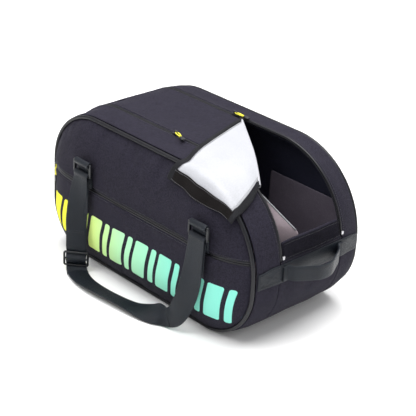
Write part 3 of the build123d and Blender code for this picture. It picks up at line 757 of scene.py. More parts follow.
def make_stage():
    """White surroundings, three lamps and a white floor."""
    world = bpy.data.worlds.new("studio")
    world.use_nodes = True
    sky = world.node_tree.nodes["Background"]
    sky.inputs[0].default_value = (1.0, 1.0, 1.0, 1)
    sky.inputs[1].default_value = 0.56
    bpy.context.scene.world = world
    make_light("key", (-0.6, -1.6, 2.6), 1.6, 36)
    make_light("fill", (2.2, 0.3, 1.6), 1.4, 8)
    make_light("top", (0.0, 0.3, 2.6), 2.6, 118)
    bpy.context.scene.view_settings.view_transform = "Standard"
    floor_paint = new_material("floor_paint", (0.93, 0.93, 0.93), 0.9, 0.1)
    n = Nodes(floor_paint)
    faint = n.noise(n.place(), 3.0, 2.0)
    n.link(n.mix(faint, (0.92, 0.92, 0.92), (0.94, 0.94, 0.94)), "Base Color")
    span = np.linspace(-6, 6, 9)
    points = np.stack(np.meshgrid(span, span, [-0.0004], indexing="ij"), -1)[:, :, 0]
    floor = grid("floor", points, floor_paint, out=("along", (0, 0, 1)), levels=0)


make_camera()
make_stage()

# ---- shell: gussets, ends, lid and base
BAG_CENTRE = ("from", (0.0, 0.0, 0.13))


def add_shell_piece(name, points, node, material=shell_cloth, closed=False, slot="shell_fabric"):
    """A padded piece of the bag's shell that stands for one CAD node."""
    finish_piece(grid(name, points, material, closed, BAG_CENTRE, PADDING), "bag", slot, node)


ROUND = 150
for side, name in BOTH_SIDES:
    stations = np.linspace(0, PERIMETER, ROUND, endpoint=False)[:, None]
    depths = np.linspace(WALL_FACE, GUSSET_EDGE, 12)[None, :] * side
    points = shell(stations, depths)
    add_shell_piece(f"{name}_gusset_cloth", points, f"{name}_gusset", closed=True)

left_points = shell_grid(STATION_BASE_LEFT, PERIMETER + STATION_SEAM, 48, 25)
add_shell_piece("left_end_cloth", left_points, "left_end_panel")

end_stations = np.linspace(STATION_SILL, STATION_BASE_RIGHT, 44)
end_width = np.where(end_stations < STATION_ZIP_END, LID_EDGE - 0.0004, GUSSET_EDGE)
end_depths = end_width[:, None] * np.linspace(-1, 1, 25)[None, :]
right_points = shell(end_stations[:, None] + 0 * end_depths, end_depths)
add_shell_piece("right_end_cloth", right_points, "right_end_panel")

base_points = shell_grid(STATION_BASE_RIGHT, STATION_BASE_LEFT, 20, 12)
base_points[..., 2] = 0.0004
add_shell_piece("base_cloth_panel", base_points, "base_panel", base_cloth, slot="base_fabric")

fold_slope = (FOLD_FRONT[0] - FOLD_REAR[0]) / (2 * LID_EDGE)


def fold_x(y, setback=0.0):
    """X of the fold line at depth y, moved back from it by setback along X."""
    return FOLD_REAR[0] + (LID_EDGE - y) * fold_slope - setback


lid_depths = np.linspace(-LID_EDGE, LID_EDGE, 21)
lid_ends = np.array([station_near(fold_x(y, 0.003), LID_TOP) for y in lid_depths])
lid_stations = STATION_SEAM + (lid_ends - STATION_SEAM)[None, :] * np.linspace(0, 1, 46)[:, None]
add_shell_piece("lid_cloth", shell(lid_stations, lid_depths[None, :]), "centre_lid")

# ---- end panels
PANEL_COLUMNS = 84


def add_panel(name, z_low, z_high, depth, side, rows, material, node, seed, lip, force):
    """A filled panel of the front or the rear; force is the pull that settles its cloth."""
    points = panel_points(z_low, z_high, depth, side, rows, PANEL_COLUMNS, seed, lip)
    piece = grid(name, points, material, out=("along", (0, side, 0)))
    soften(piece, (rows, PANEL_COLUMNS), force)
    finish_piece(piece, "bag", "shell_fabric", node)


LOW_EDGE, TOP_EDGE = PANEL_INSET, HEIGHT - PANEL_INSET
add_panel("front_upper_cloth", POCKET_HIGH - 0.0005, TOP_EDGE, FRONT_DEPTH, -1, 34, shell_cloth,
          "front_upper_panel", 11.0, 0.0008, (0, -3.0, -1.0))
add_panel("pocket_cloth_panel", LOW_EDGE, POCKET_LOW + 0.0005, FRONT_DEPTH, -1, 46, pocket_cloth,
          "pocket_panel", 21.0, 0.0018, (0, -3.0, -2.0))
add_panel("rear_cloth_panel", LOW_EDGE, TOP_EDGE, REAR_DEPTH, 1, 62, shell_cloth,
          "rear_panel", 31.0, 0.0, (0, 3.0, -1.5))

# ---- pocket zipper
LIP_PROFILE = ((0.0, -0.0016), (0.12, 0.0004), (0.28, 0.0012), (0.42, 0.0008), (0.48, -0.0010),
               (0.52, -0.0010), (0.58, 0.0008), (0.72, 0.0012), (0.88, 0.0004), (1.0, -0.0016))


def zip_lips(name, middles, outs, width_way, width, node, scale=1.0):
    """Two soft lips that close over a zipper's coil, along a row of middle points."""
    points = np.stack([middles + width_way * (a - 0.5) * width + outs * h * scale for a, h in LIP_PROFILE], 1)
    piece = grid(name, points, tape_satin, out=("along", tuple(outs.mean(0))))
    finish_piece(piece, "bag", "zip_tape", node)


pocket_x = np.linspace(-0.2530, 0.2500, 110)
pocket_z = np.full_like(pocket_x, (POCKET_LOW + POCKET_HIGH) / 2)
pocket_y = -(WALL_FACE + dome_height(pocket_x, pocket_z, FRONT_DEPTH) - 0.0010)
pocket_row = np.stack([pocket_x, pocket_y, pocket_z], -1)
zip_lips("pocket_zipper", pocket_row, np.tile((0, -1.0, 0), (110, 1)), np.array((0, 0, 1.0)),
         POCKET_HIGH - POCKET_LOW + 0.002, "pocket_zip_tape")
pocket_seams = [pocket_row + np.array((0, -0.0014, rise)) for rise in (0.0068, -0.0068)]
finish_piece(stitches("pocket_stitches", pocket_seams, thread_dark), "bag", "shell_fabric")


# ---- main zippers
def add_main_zipper(side, name, slider_x):
    """One main zipper: closed lips as far as its slider, then an opened tape with its coil."""
    middle = side * (LID_EDGE + GUSSET_EDGE) / 2
    width = GUSSET_EDGE - LID_EDGE + 0.0012
    closed = np.linspace(STATION_SEAM, station_near(slider_x, LID_TOP), 60)
    middles = shell(closed, middle, 0.0, False)
    lifted = shell(closed, middle, 0.001, False)
    outs = (lifted - middles) / 0.001
    middles = middles - outs * 0.0011
    zip_lips(f"zipper_{name}_closed", middles, outs, np.array((0, side * 1.0, 0)), width,
             f"main_zip_tape_{name}", 0.9)
    opened = np.linspace(station_near(slider_x + 0.004, LID_TOP), STATION_ZIP_END, 90)
    depths = side * np.array((GUSSET_EDGE + 0.0006, GUSSET_EDGE - 0.0006, GUSSET_EDGE - 0.0020,
                              GUSSET_EDGE - 0.0036, GUSSET_EDGE - 0.0040, GUSSET_EDGE - 0.0036))
    lifts = np.array((-0.0008, 0.0010, 0.0014, 0.0006, -0.0008, -0.0026))
    rows = [shell(opened, y, lift, False) for y, lift in zip(depths, lifts)]
    piece = grid(f"zipper_{name}_open", np.stack(rows, 1), tape_satin, out=BAG_CENTRE)
    finish_piece(piece, "bag", "zip_tape")
    teeth_line = shell(opened, side * (GUSSET_EDGE - 0.0052), -0.0014, False)
    add_coil(f"coil_{name}", teeth_line, np.array((0, -side * 1.0, 0)))


COIL_STATIONS = ((-0.0013, 0.5), (-0.0008, 0.9), (0.0006, 1.0), (0.0012, 0.6))


def add_coil(name, line, inwards):
    """The coil's turns along an opened tape, as a row of short hooked beads."""
    run = run_along(line)
    beads = []
    for at in np.arange(0.001, run[-1], 0.0018):
        centre, later = point_at(line, run, at), point_at(line, run, at + 0.001)
        way = (later - centre) / max(np.linalg.norm(later - centre), 1e-9)
        up = np.cross(way, inwards)
        beads.append([ring(centre + inwards * reach, way * 0.00055 * swell, up * 0.0009 * swell, 6)
                      for reach, swell in COIL_STATIONS])
    finish_piece(lofted(name, beads, tape_satin), "bag", "zip_tape")


add_main_zipper(-1, "front", FRONT_SLIDER_X)
add_main_zipper(1, "rear", REAR_SLIDER_X)
for _, name in BOTH_SIDES:
    repaint(f"zip_stop_{name}", stop_metal)
    repaint(f"{name}_piping", piping_gloss)
repaint("base_board", board_grain)

seam_rows = []
for side in (-1, 1):
    top_stations = np.linspace(STATION_SEAM - 0.01, STATION_ZIP_END, 200)
    seam_rows.append(shell(top_stations, side * (GUSSET_EDGE + 0.0035), 0.0004))
    closed = np.linspace(STATION_SEAM, station_near(FRONT_SLIDER_X, LID_TOP), 80)
    seam_rows.append(shell(closed, side * (LID_EDGE - 0.0035), 0.0004))
finish_piece(stitches("zipper_stitches", seam_rows, thread_dark), "bag", "shell_fabric")

# ---- inside: linings, walls and thermal divider
for side, name in BOTH_SIDES:
    stations = np.linspace(0, PERIMETER, 120, endpoint=False)[:, None]
    depths = side * np.linspace(WALL_FACE - 0.006, GUSSET_EDGE - 0.001, 8)[None, :]
    wave = ripple(stations + 0 * depths, depths + 0 * stations, 2.0 + side, 0.05) * 0.0012
    x, z = outline(stations, depths, LINING_INSET + wave)
    points = np.stack([x, depths + 0 * x, z], -1)
    piece = grid(f"{name}_lining_loop", points, lining_cloth, True, BAG_CENTRE, LINING_SKIN)
    piece.data.flip_normals()
    finish_piece(piece, "bag", "dark_lining", *(["main_lining"] if side < 0 else []))

centre_depths = np.linspace(-GUSSET_EDGE, GUSSET_EDGE, 21)
centre_stations = np.linspace(0, 1, 110)[:, None]
lining_end = np.array([station_near(min(fold_x(y, 0.004), 0.20), LID_TOP) for y in centre_depths]) + PERIMETER
lining_from = STATION_SILL + 0.003
centre_s = lining_from + (lining_end - lining_from)[None, :] * centre_stations
centre_y = centre_depths[None, :] + 0 * centre_s
wave = ripple(centre_s, centre_y, 9.0, 0.06) * 0.0014
x, z = outline(centre_s, centre_y, LINING_INSET + wave)
piece = grid("centre_lining", np.stack([x, centre_y, z], -1), lining_cloth, False, BAG_CENTRE, LINING_SKIN)
piece.data.flip_normals()
finish_piece(piece, "bag", "dark_lining")

for side, name in BOTH_SIDES:
    v = np.linspace(0, 1, 26)
    z = 0.006 + v * (HEIGHT - 0.012)
    left, right = side_limits(z, 0.006)
    x = left[:, None] + np.linspace(0, 1, 46)[None, :] * (right - left)[:, None]
    z = z[:, None] + 0 * x
    y = side * (WALL_FACE - 0.0050) - side * np.abs(ripple(x, z, 14.0 + side, 0.07)) * 0.003
    piece = grid(f"{name}_wall_lining", np.stack([x, y, z], -1), lining_cloth,
                 out=("along", (0, -side, 0)), thickness=LINING_SKIN)
    finish_piece(piece, "bag", "dark_lining", f"{name}_wall")


def bound_sheet(name, corners, node, columns, rows, bow, out):
    """A thermal sheet between four corners with a bound top edge."""
    a, b, c, d = (np.array(p) for p in corners)
    u = np.linspace(0, 1, columns)[:, None, None]
    v = np.linspace(0, 1, rows)[None, :, None]
    points = (a * (1 - u) + b * u) * (1 - v) + (d * (1 - u) + c * u) * v
    along = ripple(u[..., 0] * 0.4 + 0 * v[..., 0], v[..., 0] * 0.25, 41.0, 0.09) * bow
    edge = np.sin(np.pi * u[..., 0]) * np.sin(np.pi * np.clip(v[..., 0] * 0.5 + 0.3, 0, 1))
    points = points + (along * edge)[..., None] * np.array(out)
    piece = grid(name, points, thermal_cloth, out=("along", out), thickness=0.0016)
    finish_piece(piece, "bag", "white_lining", node)
    rim = tube(f"{name}_binding", spline(points[:, -1][::4], 6), 0.0015, white_rib, 8)
    finish_piece(rim, "bag", "white_lining")
    return points


sheet_low, sheet_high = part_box("divider_sheet")
bound_sheet("thermal_divider", ((sheet_low.x + 0.04, -0.069, 0.020), (sheet_high.x, -0.069, 0.030),
                                (sheet_high.x, -0.069, sheet_high.z - 0.009),
                                (sheet_low.x + 0.03, -0.069, sheet_high.z - 0.001)),
            "divider_sheet", 40, 18, 0.0015, (0, 1, 0))
wing_low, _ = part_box("divider_wing")
wing_rim = LINING_INSET + 0.004
bound_sheet("thermal_wing", ((wing_low.x, wing_low.y + 0.001, wing_low.z),
                             (HALF_LENGTH - wing_rim, -0.016, 0.104),
                             (HALF_LENGTH - wing_rim, -0.016, SILL - 0.005),
                             (wing_low.x + 0.002, wing_low.y + 0.001, 0.251)),
            "divider_wing", 14, 14, 0.0012, (0.7, -0.7, 0))

v = np.linspace(0, 1, 16)
z = 0.016 + v * 0.176
right = side_limits(z, 0.014)[1]
x = 0.06 + np.linspace(0, 1, 20)[None, :] * (right - 0.06)[:, None]
z = z[:, None] + 0 * x
y = WALL_FACE - 0.0092 - np.abs(ripple(x, z, 71.0, 0.06)) * 0.002
# The rear thermal sheet takes the darker copy of the thermal cloth, which paints shade into its colour.
piece = grid("thermal_rear", np.stack([x, y, z], -1), shaded_thermal_cloth, out=("along", (0, -1, 0)), thickness=0.0010)
finish_piece(piece, "bag", "white_lining")

# ---- right end: loop patch, webbing band and grab handle
patch_stations = np.linspace(station_near(HALF_LENGTH + CROWN, patch_high.z), STATION_ZIP_END + 0.0005, 16)
patch_depths = np.linspace(-LID_EDGE + 0.001, LID_EDGE - 0.001, 60)
patch_s, patch_y = np.meshgrid(patch_stations, patch_depths, indexing="ij")
fuzz = 0.0012 + ripple(patch_s, patch_y, 51.0, 0.0035) * 0.0005
patch_points = shell(patch_s, patch_y)
patch_out = shell(patch_s, patch_y, 0.001) - patch_points
patch_points = patch_points + patch_out * (fuzz / 0.001)[..., None]
patch = grid("loop_patch_pile", patch_points, loop_pile, out=BAG_CENTRE, thickness=0.0008)
finish_piece(patch, "bag", "loop_tape", "loop_patch")


def end_row(z, depths, lift):
    """Points on the right end at one height."""
    return shell(station_near(HALF_LENGTH + CROWN, z), depths, lift)


BAND_LIFT = 0.0021
band_depths = np.linspace(-WALL_FACE + 0.001, WALL_FACE - 0.001, 90)
band_rows = np.linspace(band_low.z, band_high.z, 8)
band_points = np.stack([end_row(z, band_depths, BAND_LIFT) for z in band_rows], 1)
band = grid("end_band_webbing", band_points, webbing_satin, out=BAG_CENTRE, thickness=0.0018, uv_turn=True)
finish_piece(band, "bag", "webbing", "end_band")

sewn = []
inner_low, inner_high = band_low.z + 0.004, band_high.z - 0.004
for side in (-1, 1):
    near, away = side * (GUSSET_EDGE - 0.004), side * (WALL_FACE - 0.006)
    for z in (inner_low, inner_high):
        sewn.append(end_row(z, np.linspace(near, away, 16), BAND_LIFT + 0.0004))
    rising = np.linspace(inner_low, inner_high, 10)
    sewn += [[end_row(z, y, BAND_LIFT + 0.0004) for z in rising] for y in (near, away)]
    for z_pair in ((inner_low, inner_high), (inner_high, inner_low)):
        crossing = zip(np.linspace(*z_pair, 16), np.linspace(near, away, 16))
        sewn.append([end_row(z, y, BAND_LIFT + 0.0004) for z, y in crossing])
for z in (patch_high.z - 0.003, patch_low.z + 0.003):
    sewn.append(end_row(z, np.linspace(-LID_EDGE + 0.003, LID_EDGE - 0.003, 50), 0.0022))
for z in (ZIP_END - 0.004, ZIP_END - 0.0085):
    sewn.append(end_row(z, np.linspace(-GUSSET_EDGE, GUSSET_EDGE, 50), 0.0006))
finish_piece(stitches("end_stitches", sewn, thread_dark), "bag", "webbing")

grab_middle = (grab_low.z + grab_high.z) / 2
grab_half = grab_high.y - 0.014
grab_foot = grab_low.x + 0.0016
grab_out = grab_high.x - 0.0016
grab_route = [(grab_foot, -grab_high.y, grab_middle), (grab_foot + 0.0005, -grab_half - 0.003, grab_middle),
              (grab_foot + 0.010, -grab_half + 0.006, grab_middle - 0.001),
              (grab_out - 0.010, -grab_half * 0.55, grab_middle - 0.002),
              (grab_out - 0.001, -grab_half * 0.2, grab_middle - 0.003),
              (grab_out - 0.001, grab_half * 0.2, grab_middle - 0.003),
              (grab_out - 0.010, grab_half * 0.55, grab_middle - 0.002),
              (grab_foot + 0.010, grab_half - 0.006, grab_middle - 0.001),
              (grab_foot + 0.0005, grab_half + 0.003, grab_middle), (grab_foot, grab_high.y, grab_middle)]
grab = ribbon("grab_handle_webbing", grab_route, [(0, 0, 1)] * len(grab_route),
              grab_high.z - grab_low.z - 0.001, 0.0030, webbing_satin)
finish_piece(grab, "bag", "webbing", "grab_handle")

# ---- flap
FLAP_COLUMNS, FLAP_ROWS = 40, 44
CREST_LEFT, CREST_RIGHT = 0.0825, 0.2145
HEM_LEFT = (0.072, -0.1515, 0.2545)
HEM_RIGHT = (0.2165, -0.1430, 0.2300)
FLAP_LIFT = 0.0022


def top_height(x, y):
    """Height of the shell above the point (x, y) on the bag's top."""
    share = np.clip((HALF_DEPTH - np.abs(y)) / (HALF_DEPTH - GUSSET_EDGE), 0, 1)
    rise = CROWN * np.sin(share * math.pi / 2)
    run = np.clip(x - (HALF_LENGTH + rise - TOP_RIGHT), 0, TOP_RIGHT - 0.002)
    return HEIGHT + rise - TOP_RIGHT + np.sqrt(TOP_RIGHT**2 - run**2)


def flap_route(u):
    """The flap's path from the fold to its hem at a share u from the rear side to the front side."""
    fold_y = LID_EDGE - 0.006 - u * (2 * LID_EDGE - 0.006)
    start = np.array((fold_x(fold_y, 0.001), fold_y))
    end = np.array((CREST_LEFT + u * (CREST_RIGHT - CREST_LEFT), -WALL_FACE))
    hem = np.array(HEM_LEFT) + u * (np.array(HEM_RIGHT) - np.array(HEM_LEFT))
    points = []
    for t in np.linspace(0, 1, 14):
        x, y = start + t * (end - start)
        x += 0.0052 * u**4 * math.sin(math.pi * t)
        points.append((x, y, float(top_height(x, y)) + FLAP_LIFT + 0.0012 * math.sin(math.pi * t)))
    edge_z = float(top_height(end[0], -WALL_FACE)) + FLAP_LIFT
    for share, fall in ((0.36, 0.06), (0.64, 0.30), (0.84, 0.62), (1.0, 1.0)):
        x, y = end + share * (hem[:2] - end)
        points.append((x, y, edge_z - fall * (edge_z - hem[2])))
    return np.array(points)


def flap_surface():
    """The flap's middle surface: rows from the fold to the hem, columns from rear to front."""
    columns = []
    for u in np.linspace(0, 1, FLAP_COLUMNS):
        dense = spline(flap_route(u), 6)
        run = run_along(dense)
        columns.append(point_at(dense, run, np.linspace(0, run[-1], FLAP_ROWS)))
    points = np.stack(columns, 1)
    u = np.linspace(0, 1, FLAP_COLUMNS)[None, :]
    v = np.linspace(0, 1, FLAP_ROWS)[:, None]
    free = np.clip((v - 0.55) / 0.45, 0, 1) ** 1.5
    round_u = 2 * math.pi * u
    points[..., 1] += free * (0.0020 * np.sin(1.6 * round_u + 0.2 * math.pi)
                              + 0.0012 * np.sin(3.3 * round_u + 0.8 * math.pi))
    points[..., 2] -= free * (0.0050 * np.sin(math.pi * u) ** 2 + 0.0012 * np.sin(2.2 * round_u))
    soft = ripple(u * 0.22, v * 0.24, 61.0, 0.07) * 0.0011 * np.sin(math.pi * np.clip(v, 0, 0.5) * 2)
    points[..., 2] += np.abs(soft) * (v < 0.62)
    return points


flap_points = flap_surface()


def flap_normals(points):
    """Unit normals of the flap's middle surface, on the side of its lining."""
    down = np.gradient(points, axis=0)
    across = np.gradient(points, axis=1)
    normal = np.cross(across, down)
    normal /= np.linalg.norm(normal, axis=2, keepdims=True)
    return normal if normal[2, 2, 2] > 0 else -normal


flap_outs = flap_normals(flap_points)
flap_runs = np.linalg.norm(np.diff(flap_points, axis=0), axis=2).sum(0)


def hook_start(u):
    """Share of the flap's length at which its hook strip starts."""
    strip = 0.0205 + 0.0040 * np.sin(np.minimum(2 * u, 1) * math.pi / 2) - 0.0100 * np.clip(2 * u - 1, 0, 1)
    return 1 - strip / np.interp(u, np.linspace(0, 1, FLAP_COLUMNS), flap_runs)


def on_flap(u, v, lift):
    """Points on the flap at shares u and v, standing lift above its middle surface."""
    u, v = np.broadcast_arrays(u, v)
    a = np.clip(v, 0, 1) * (FLAP_ROWS - 1)
    b = np.clip(u, 0, 1) * (FLAP_COLUMNS - 1)
    i, j = np.minimum(a.astype(int), FLAP_ROWS - 2), np.minimum(b.astype(int), FLAP_COLUMNS - 2)
    f, g = (a - i)[..., None], (b - j)[..., None]

    def sample(field):
        return ((field[i, j] * (1 - g) + field[i, j + 1] * g) * (1 - f)
                + (field[i + 1, j] * (1 - g) + field[i + 1, j + 1] * g) * f)

    outs = sample(flap_outs)
    return sample(flap_points) + outs * (np.asarray(lift) + 0 * u)[..., None]


fold_a = Vector((FOLD_REAR[0], FOLD_REAR[1], LID_TOP))
fold_d = Vector((FOLD_FRONT[0], FOLD_FRONT[1], float(top_height(*FOLD_FRONT))))
fold_way = (fold_d - fold_a).normalized()
fold_side = fold_way.cross(Vector((0, 0, 1))).normalized()
fold_side = fold_side if fold_side.y < 0 else -fold_side
fold_middle = (fold_a + fold_d) / 2
FOLD_BLEND = ("bag", "flap", tuple(fold_middle + fold_side * 0.002), tuple(fold_middle + fold_side * 0.034))


def flap_patch(name, us, vs, lift, material, thickness, slot, nodes=(), span=None, uv_turn=False):
    """A layer of the flap; span may give where its rows start and end as shares of the flap's length."""
    u, v = np.meshgrid(us, vs, indexing="xy")
    if span:
        start, end = span(u)
        v = start + v * (end - start)
    piece = grid(name, on_flap(u, v, lift), material, out=("along", (0, -0.6, 0.8)), thickness=thickness,
                 uv_turn=uv_turn)
    return finish_piece(piece, "flap", slot, *nodes, blend=FOLD_BLEND)


def to_hook(u):
    """From the fold to the hook strip."""
    return 0 * u, hook_start(u)


def under_hook(u):
    """From just under the lining's end to the hem."""
    return hook_start(u) - 0.004, 0 * u + 0.994


WHOLE = np.linspace(0, 1, FLAP_ROWS)
flap_cloth = flap_patch("flap_cloth", np.linspace(0.0, 1.0, FLAP_COLUMNS), WHOLE, 0.0,
                        shell_cloth, 0.0016, "shell_fabric", ("flap_shell",))
flap_lining = flap_patch("flap_lining_cloth", np.linspace(0.060, 0.945, 36), WHOLE, 0.0012, white_cloth, 0.0006,
                         "white_lining", ("flap_lining",), to_hook)
flap_patch("flap_hook_tape", np.linspace(0.045, 0.965, 44), np.linspace(0, 1, 9), 0.0021, hook_rib, 0.0010,
           "hook_tape", ("flap_hook_strip",), under_hook)


def edge_binding(name, edge, inwards, node):
    """Grosgrain folded over one side of the flap, from its lining round to its outer cloth."""
    section = ((0.0102, 0.0021), (0.0058, 0.0025), (0.0010, 0.0025), (-0.0022, 0.0017), (-0.0031, 0.0),
               (-0.0022, -0.0017), (0.0010, -0.0024), (0.0069, -0.0022))
    v = np.linspace(0.0, 1.0, 48)
    base = on_flap(edge, v, 0.0)
    inner = on_flap(edge + inwards * 0.10, v, 0.0)
    side_way = (inner - base) / np.linalg.norm(inner - base, axis=1, keepdims=True)
    outs = (on_flap(edge, v, 0.001) - base) / 0.001
    points = np.stack([base + side_way * a + outs * h for a, h in section], 1)
    piece = grid(name, points, binding_rib)
    face_outwards(piece, ("from", tuple(points.mean((0, 1)))))
    return finish_piece(piece, "flap", "binding", node, blend=FOLD_BLEND)


edge_binding("flap_binding_rear_cloth", 0.0, 1.0, "flap_binding_rear")
edge_binding("flap_binding_front_cloth", 1.0, -1.0, "flap_binding_front")
for side, edges in (("rear", (0.060, 0.072)), ("front", (0.933, 0.945))):
    flap_patch(f"flap_rib_{side}", np.linspace(*edges, 4), np.linspace(0.01, 1, 40), 0.0017, white_rib, 0.0005,
               "white_lining", span=to_hook, uv_turn=True)
along = np.linspace(0.01, 1, 80)
across = np.linspace(0.05, 0.95, 80)
flap_rows = [on_flap(u, along * hook_start(u), 0.0018) for u in (0.080, 0.925)]
flap_rows.append(on_flap(across, hook_start(across) + 0.008, 0.0027))
flap_rows.append(on_flap(across, 0.984, 0.0027))
finish_piece(stitches("flap_stitches", flap_rows, thread_grey), "flap", "binding", blend=FOLD_BLEND)

# the rolled edge that the lining makes where the lid turns over
roll_points = []
for u in np.linspace(0.035, 1.0, 40):
    fold_y = LID_EDGE - 0.001 - u * (2 * LID_EDGE - 0.002)
    x = float(fold_x(fold_y, 0.0))
    z = float(top_height(x, fold_y))
    row = []
    for turn in np.linspace(math.radians(-100), math.radians(118), 12):
        out = math.cos(turn) * 0.0036
        row.append((x - fold_side.x * out, fold_y - fold_side.y * out, z + 0.0002 + math.sin(turn) * 0.0032))
    roll_points.append(row)
roll = grid("lid_fold_roll", np.array(roll_points), white_cloth, thickness=0.0006)
face_outwards(roll, ("along", (0.6, 0.8, 0)))
finish_piece(roll, "bag", "white_lining")
under_points = []
for u in np.linspace(0.0, 1.0, 24):
    fold_y = LID_EDGE - 0.002 - u * (2 * LID_EDGE - 0.004)
    row = []
    for back in np.linspace(0.0, 0.060, 8):
        x = float(fold_x(fold_y, 0.0)) - back * 0.6
        row.append((x, fold_y, float(top_height(x, fold_y)) - 0.0040 - 0.0008 * math.sin(back * 60)))
    under_points.append(row)
under = grid("lid_under_lining", np.array(under_points), white_cloth, out=("along", (0, 0, -1)),
             thickness=0.0006)
finish_piece(under, "bag", "white_lining")


# ---- carry handles
WEBBING_THICK = 0.0020


def add_handle(side, prefix):
    """Webbing of one carry handle: two anchors, and a strap that lies on the floor and twists."""
    left_low, left_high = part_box(f"{prefix}_ring_left")
    left_x, right_x = middle_x(f"{prefix}_ring_left"), middle_x(f"{prefix}_ring_right")
    ring_y = (left_low.y + left_high.y) / 2
    bar = (left_high.y - left_low.y) / 2
    top_bar, low_bar = left_high.z - bar, left_low.z + bar
    panel = abs(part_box(f"{prefix}_anchor_left")[1 if side < 0 else 0].y) - abs(ring_y)
    strap_low, strap_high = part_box(f"{prefix}_strap_left")
    width = strap_high.x - strap_low.x - 0.001
    wrap = bar + 0.0019

    def places(x, *rows):
        """Route points from rows of distance from x, distance outwards from the rings, and height."""
        return [(x + along, ring_y + side * out, z) for along, out, z in rows]

    def ways(*rows):
        """Directions of the webbing's width, given for the rear handle."""
        return [(x, side * y, z) for x, y, z in rows]

    def strap(part, body, route, sides, per_span, keep=None):
        """A stretch of webbing that stands for the CAD node of the same part."""
        name = f"{prefix}_{part}_webbing"
        piece = ribbon(name, route, sides, width, WEBBING_THICK, webbing_satin, per_span, keep)
        finish_piece(piece, body, "webbing", f"{prefix}_{part}")

    across = (1, 0, 0)
    foot = POCKET_HIGH - 0.001
    for end, x in (("left", left_x), ("right", right_x)):
        route = places(x, (0, panel + 0.0012, foot), (0, panel + 0.0014, foot + 0.014),
                       (0, -wrap * 0.86, top_bar - 0.006), (0, -wrap, top_bar + 0.0008), (0, 0, top_bar + wrap),
                       (0, wrap, top_bar), (0, wrap * 0.7, top_bar - 0.0045),
                       (0, -wrap * 0.10, top_bar - 0.0070), (0, panel + 0.0042, top_bar - 0.013),
                       (0, panel + 0.0038, foot + 0.006))
        strap(f"anchor_{end}", "bag", route, [across] * len(route), 6)

    turn, outward = np.array(ways((0.77, -0.64, 0.0), (0.64, 0.77, 0.0)))
    buckle_low, buckle_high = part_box(f"{prefix}_buckle")
    bars = (buckle_high.z - buckle_low.z) / 2 - 0.002
    buckle_at = np.array(places(left_x, (-0.001, 0.0118, (buckle_low.z + buckle_high.z) / 2))[0])
    round_bar = ((0, 0.0010, low_bar - 0.016), (0, -0.0024, low_bar - 0.0044), (0, -wrap, low_bar + 0.0004),
                 (0, 0, low_bar + wrap), (0, wrap, low_bar + 0.0002), (0, wrap * 1.05, low_bar - 0.010))
    # the strap weaves over and under the three bars of its buckle
    woven_through = [tuple(buckle_at + np.array((0, 0, rise)) + outward * off) for rise, off in
                     ((bars + 0.012, -0.0004), (bars, -0.0030), (bars * 0.5, 0.0), (0.0, 0.0030),
                      (-bars * 0.5, 0.0), (-bars, -0.0028))]
    left_route = (places(left_x, (0, 0.0022, 0.118), *round_bar, (-0.001, 0.0080, 0.148),
                         (-0.001, 0.0108, 0.118), (-0.001, 0.0118, 0.082)) + woven_through
                  + places(left_x, (0.006, 0.0150, 0.0044), (0.014, 0.0200, 0.0030)))
    left_sides = [across] * 7 + ways((0.94, -0.34, 0.0), *[(0.77, -0.64, 0.0)] * 8, (0.74, -0.66, 0.06),
                                     (0.66, -0.75, 0.0))
    strap("strap_left", prefix, left_route, left_sides, 8)

    route = (places(left_x, (0.008, 0.016, 0.0044), (0.024, 0.023, 0.0040), (0.048, 0.029, 0.0046),
                    (0.082, 0.031, 0.0066), (0.122, 0.028, 0.0070), (0.166, 0.023, 0.0076),
                    (0.202, 0.018, 0.0113), (0.230, 0.015, 0.0188))
             + places(right_x, (-0.046, 0.0135, 0.0215), (-0.030, 0.0120, 0.034), (-0.016, 0.0100, 0.062),
                      (-0.006, 0.0085, 0.098), (-0.001, 0.0070, 0.140), *round_bar[::-1], (0, 0.0022, 0.122)))
    sides = ways((0.72, -0.69, 0.0), (0.56, -0.82, -0.05), (0.28, -0.95, -0.12), (0.02, -0.97, -0.22),
                 (-0.10, -0.96, -0.24), (-0.14, -0.97, -0.10), (-0.14, -0.84, 0.42), (0.00, -0.34, 0.90),
                 (-0.20, 0.05, 0.96), (-0.42, 0.15, 0.80), (-0.66, 0.42, 0.45), (-0.86, 0.42, 0.16),
                 (-0.98, 0.14, 0.02), *[(-1, 0, 0)] * 7)
    meeting = 8  # the point of the route at which the grip ends and the right leg begins
    strap("strap_grip", prefix, route, sides, 10, (0, meeting))
    strap("strap_right", prefix, route, sides, 10, (meeting, len(route) - 1))

    half = width / 2 - 0.0025
    middle = np.array(places(left_x, (-0.001, 0.0119, 0.0))[0]) + outward * 0.0012
    rows = [[tuple(middle + turn * t * half + np.array((0, 0, z))) for t in np.linspace(-1, 1, 20)]
            for z in (0.078, 0.0815)]
    finish_piece(stitches(f"{prefix}_stitches", rows, thread_dark), prefix, "webbing")

    half_wide = (buckle_high.x - buckle_low.x) / 2 - 0.002
    corner = 0.003
    loop = []
    for way_across, way_up, start in ((1, 1, 0), (-1, 1, 90), (-1, -1, 180), (1, -1, 270)):
        for angle in np.radians(start + np.linspace(0, 90, 6)):
            reach = way_across * (half_wide - corner) + corner * math.cos(angle)
            rise = way_up * (bars - corner) + corner * math.sin(angle)
            loop.append(buckle_at + turn * reach + np.array((0, 0, rise)))
    frame_piece = tube(f"{prefix}_tri_glide", loop, 0.0020, ring_plastic, 12, True)
    finish_piece(frame_piece, prefix, "moulded_plastic", f"{prefix}_buckle")
    bar_line = [buckle_at + turn * reach for reach in np.linspace(-half_wide, half_wide, 8)]
    bar_piece = tube(f"{prefix}_tri_glide_bar", bar_line, 0.0018, ring_plastic, 12)
    finish_piece(bar_piece, prefix, "moulded_plastic")
    for part in ("ring_left", "ring_right"):
        repaint(f"{prefix}_{part}", ring_plastic)


add_handle(-1, "front_handle")
add_handle(1, "rear_handle")


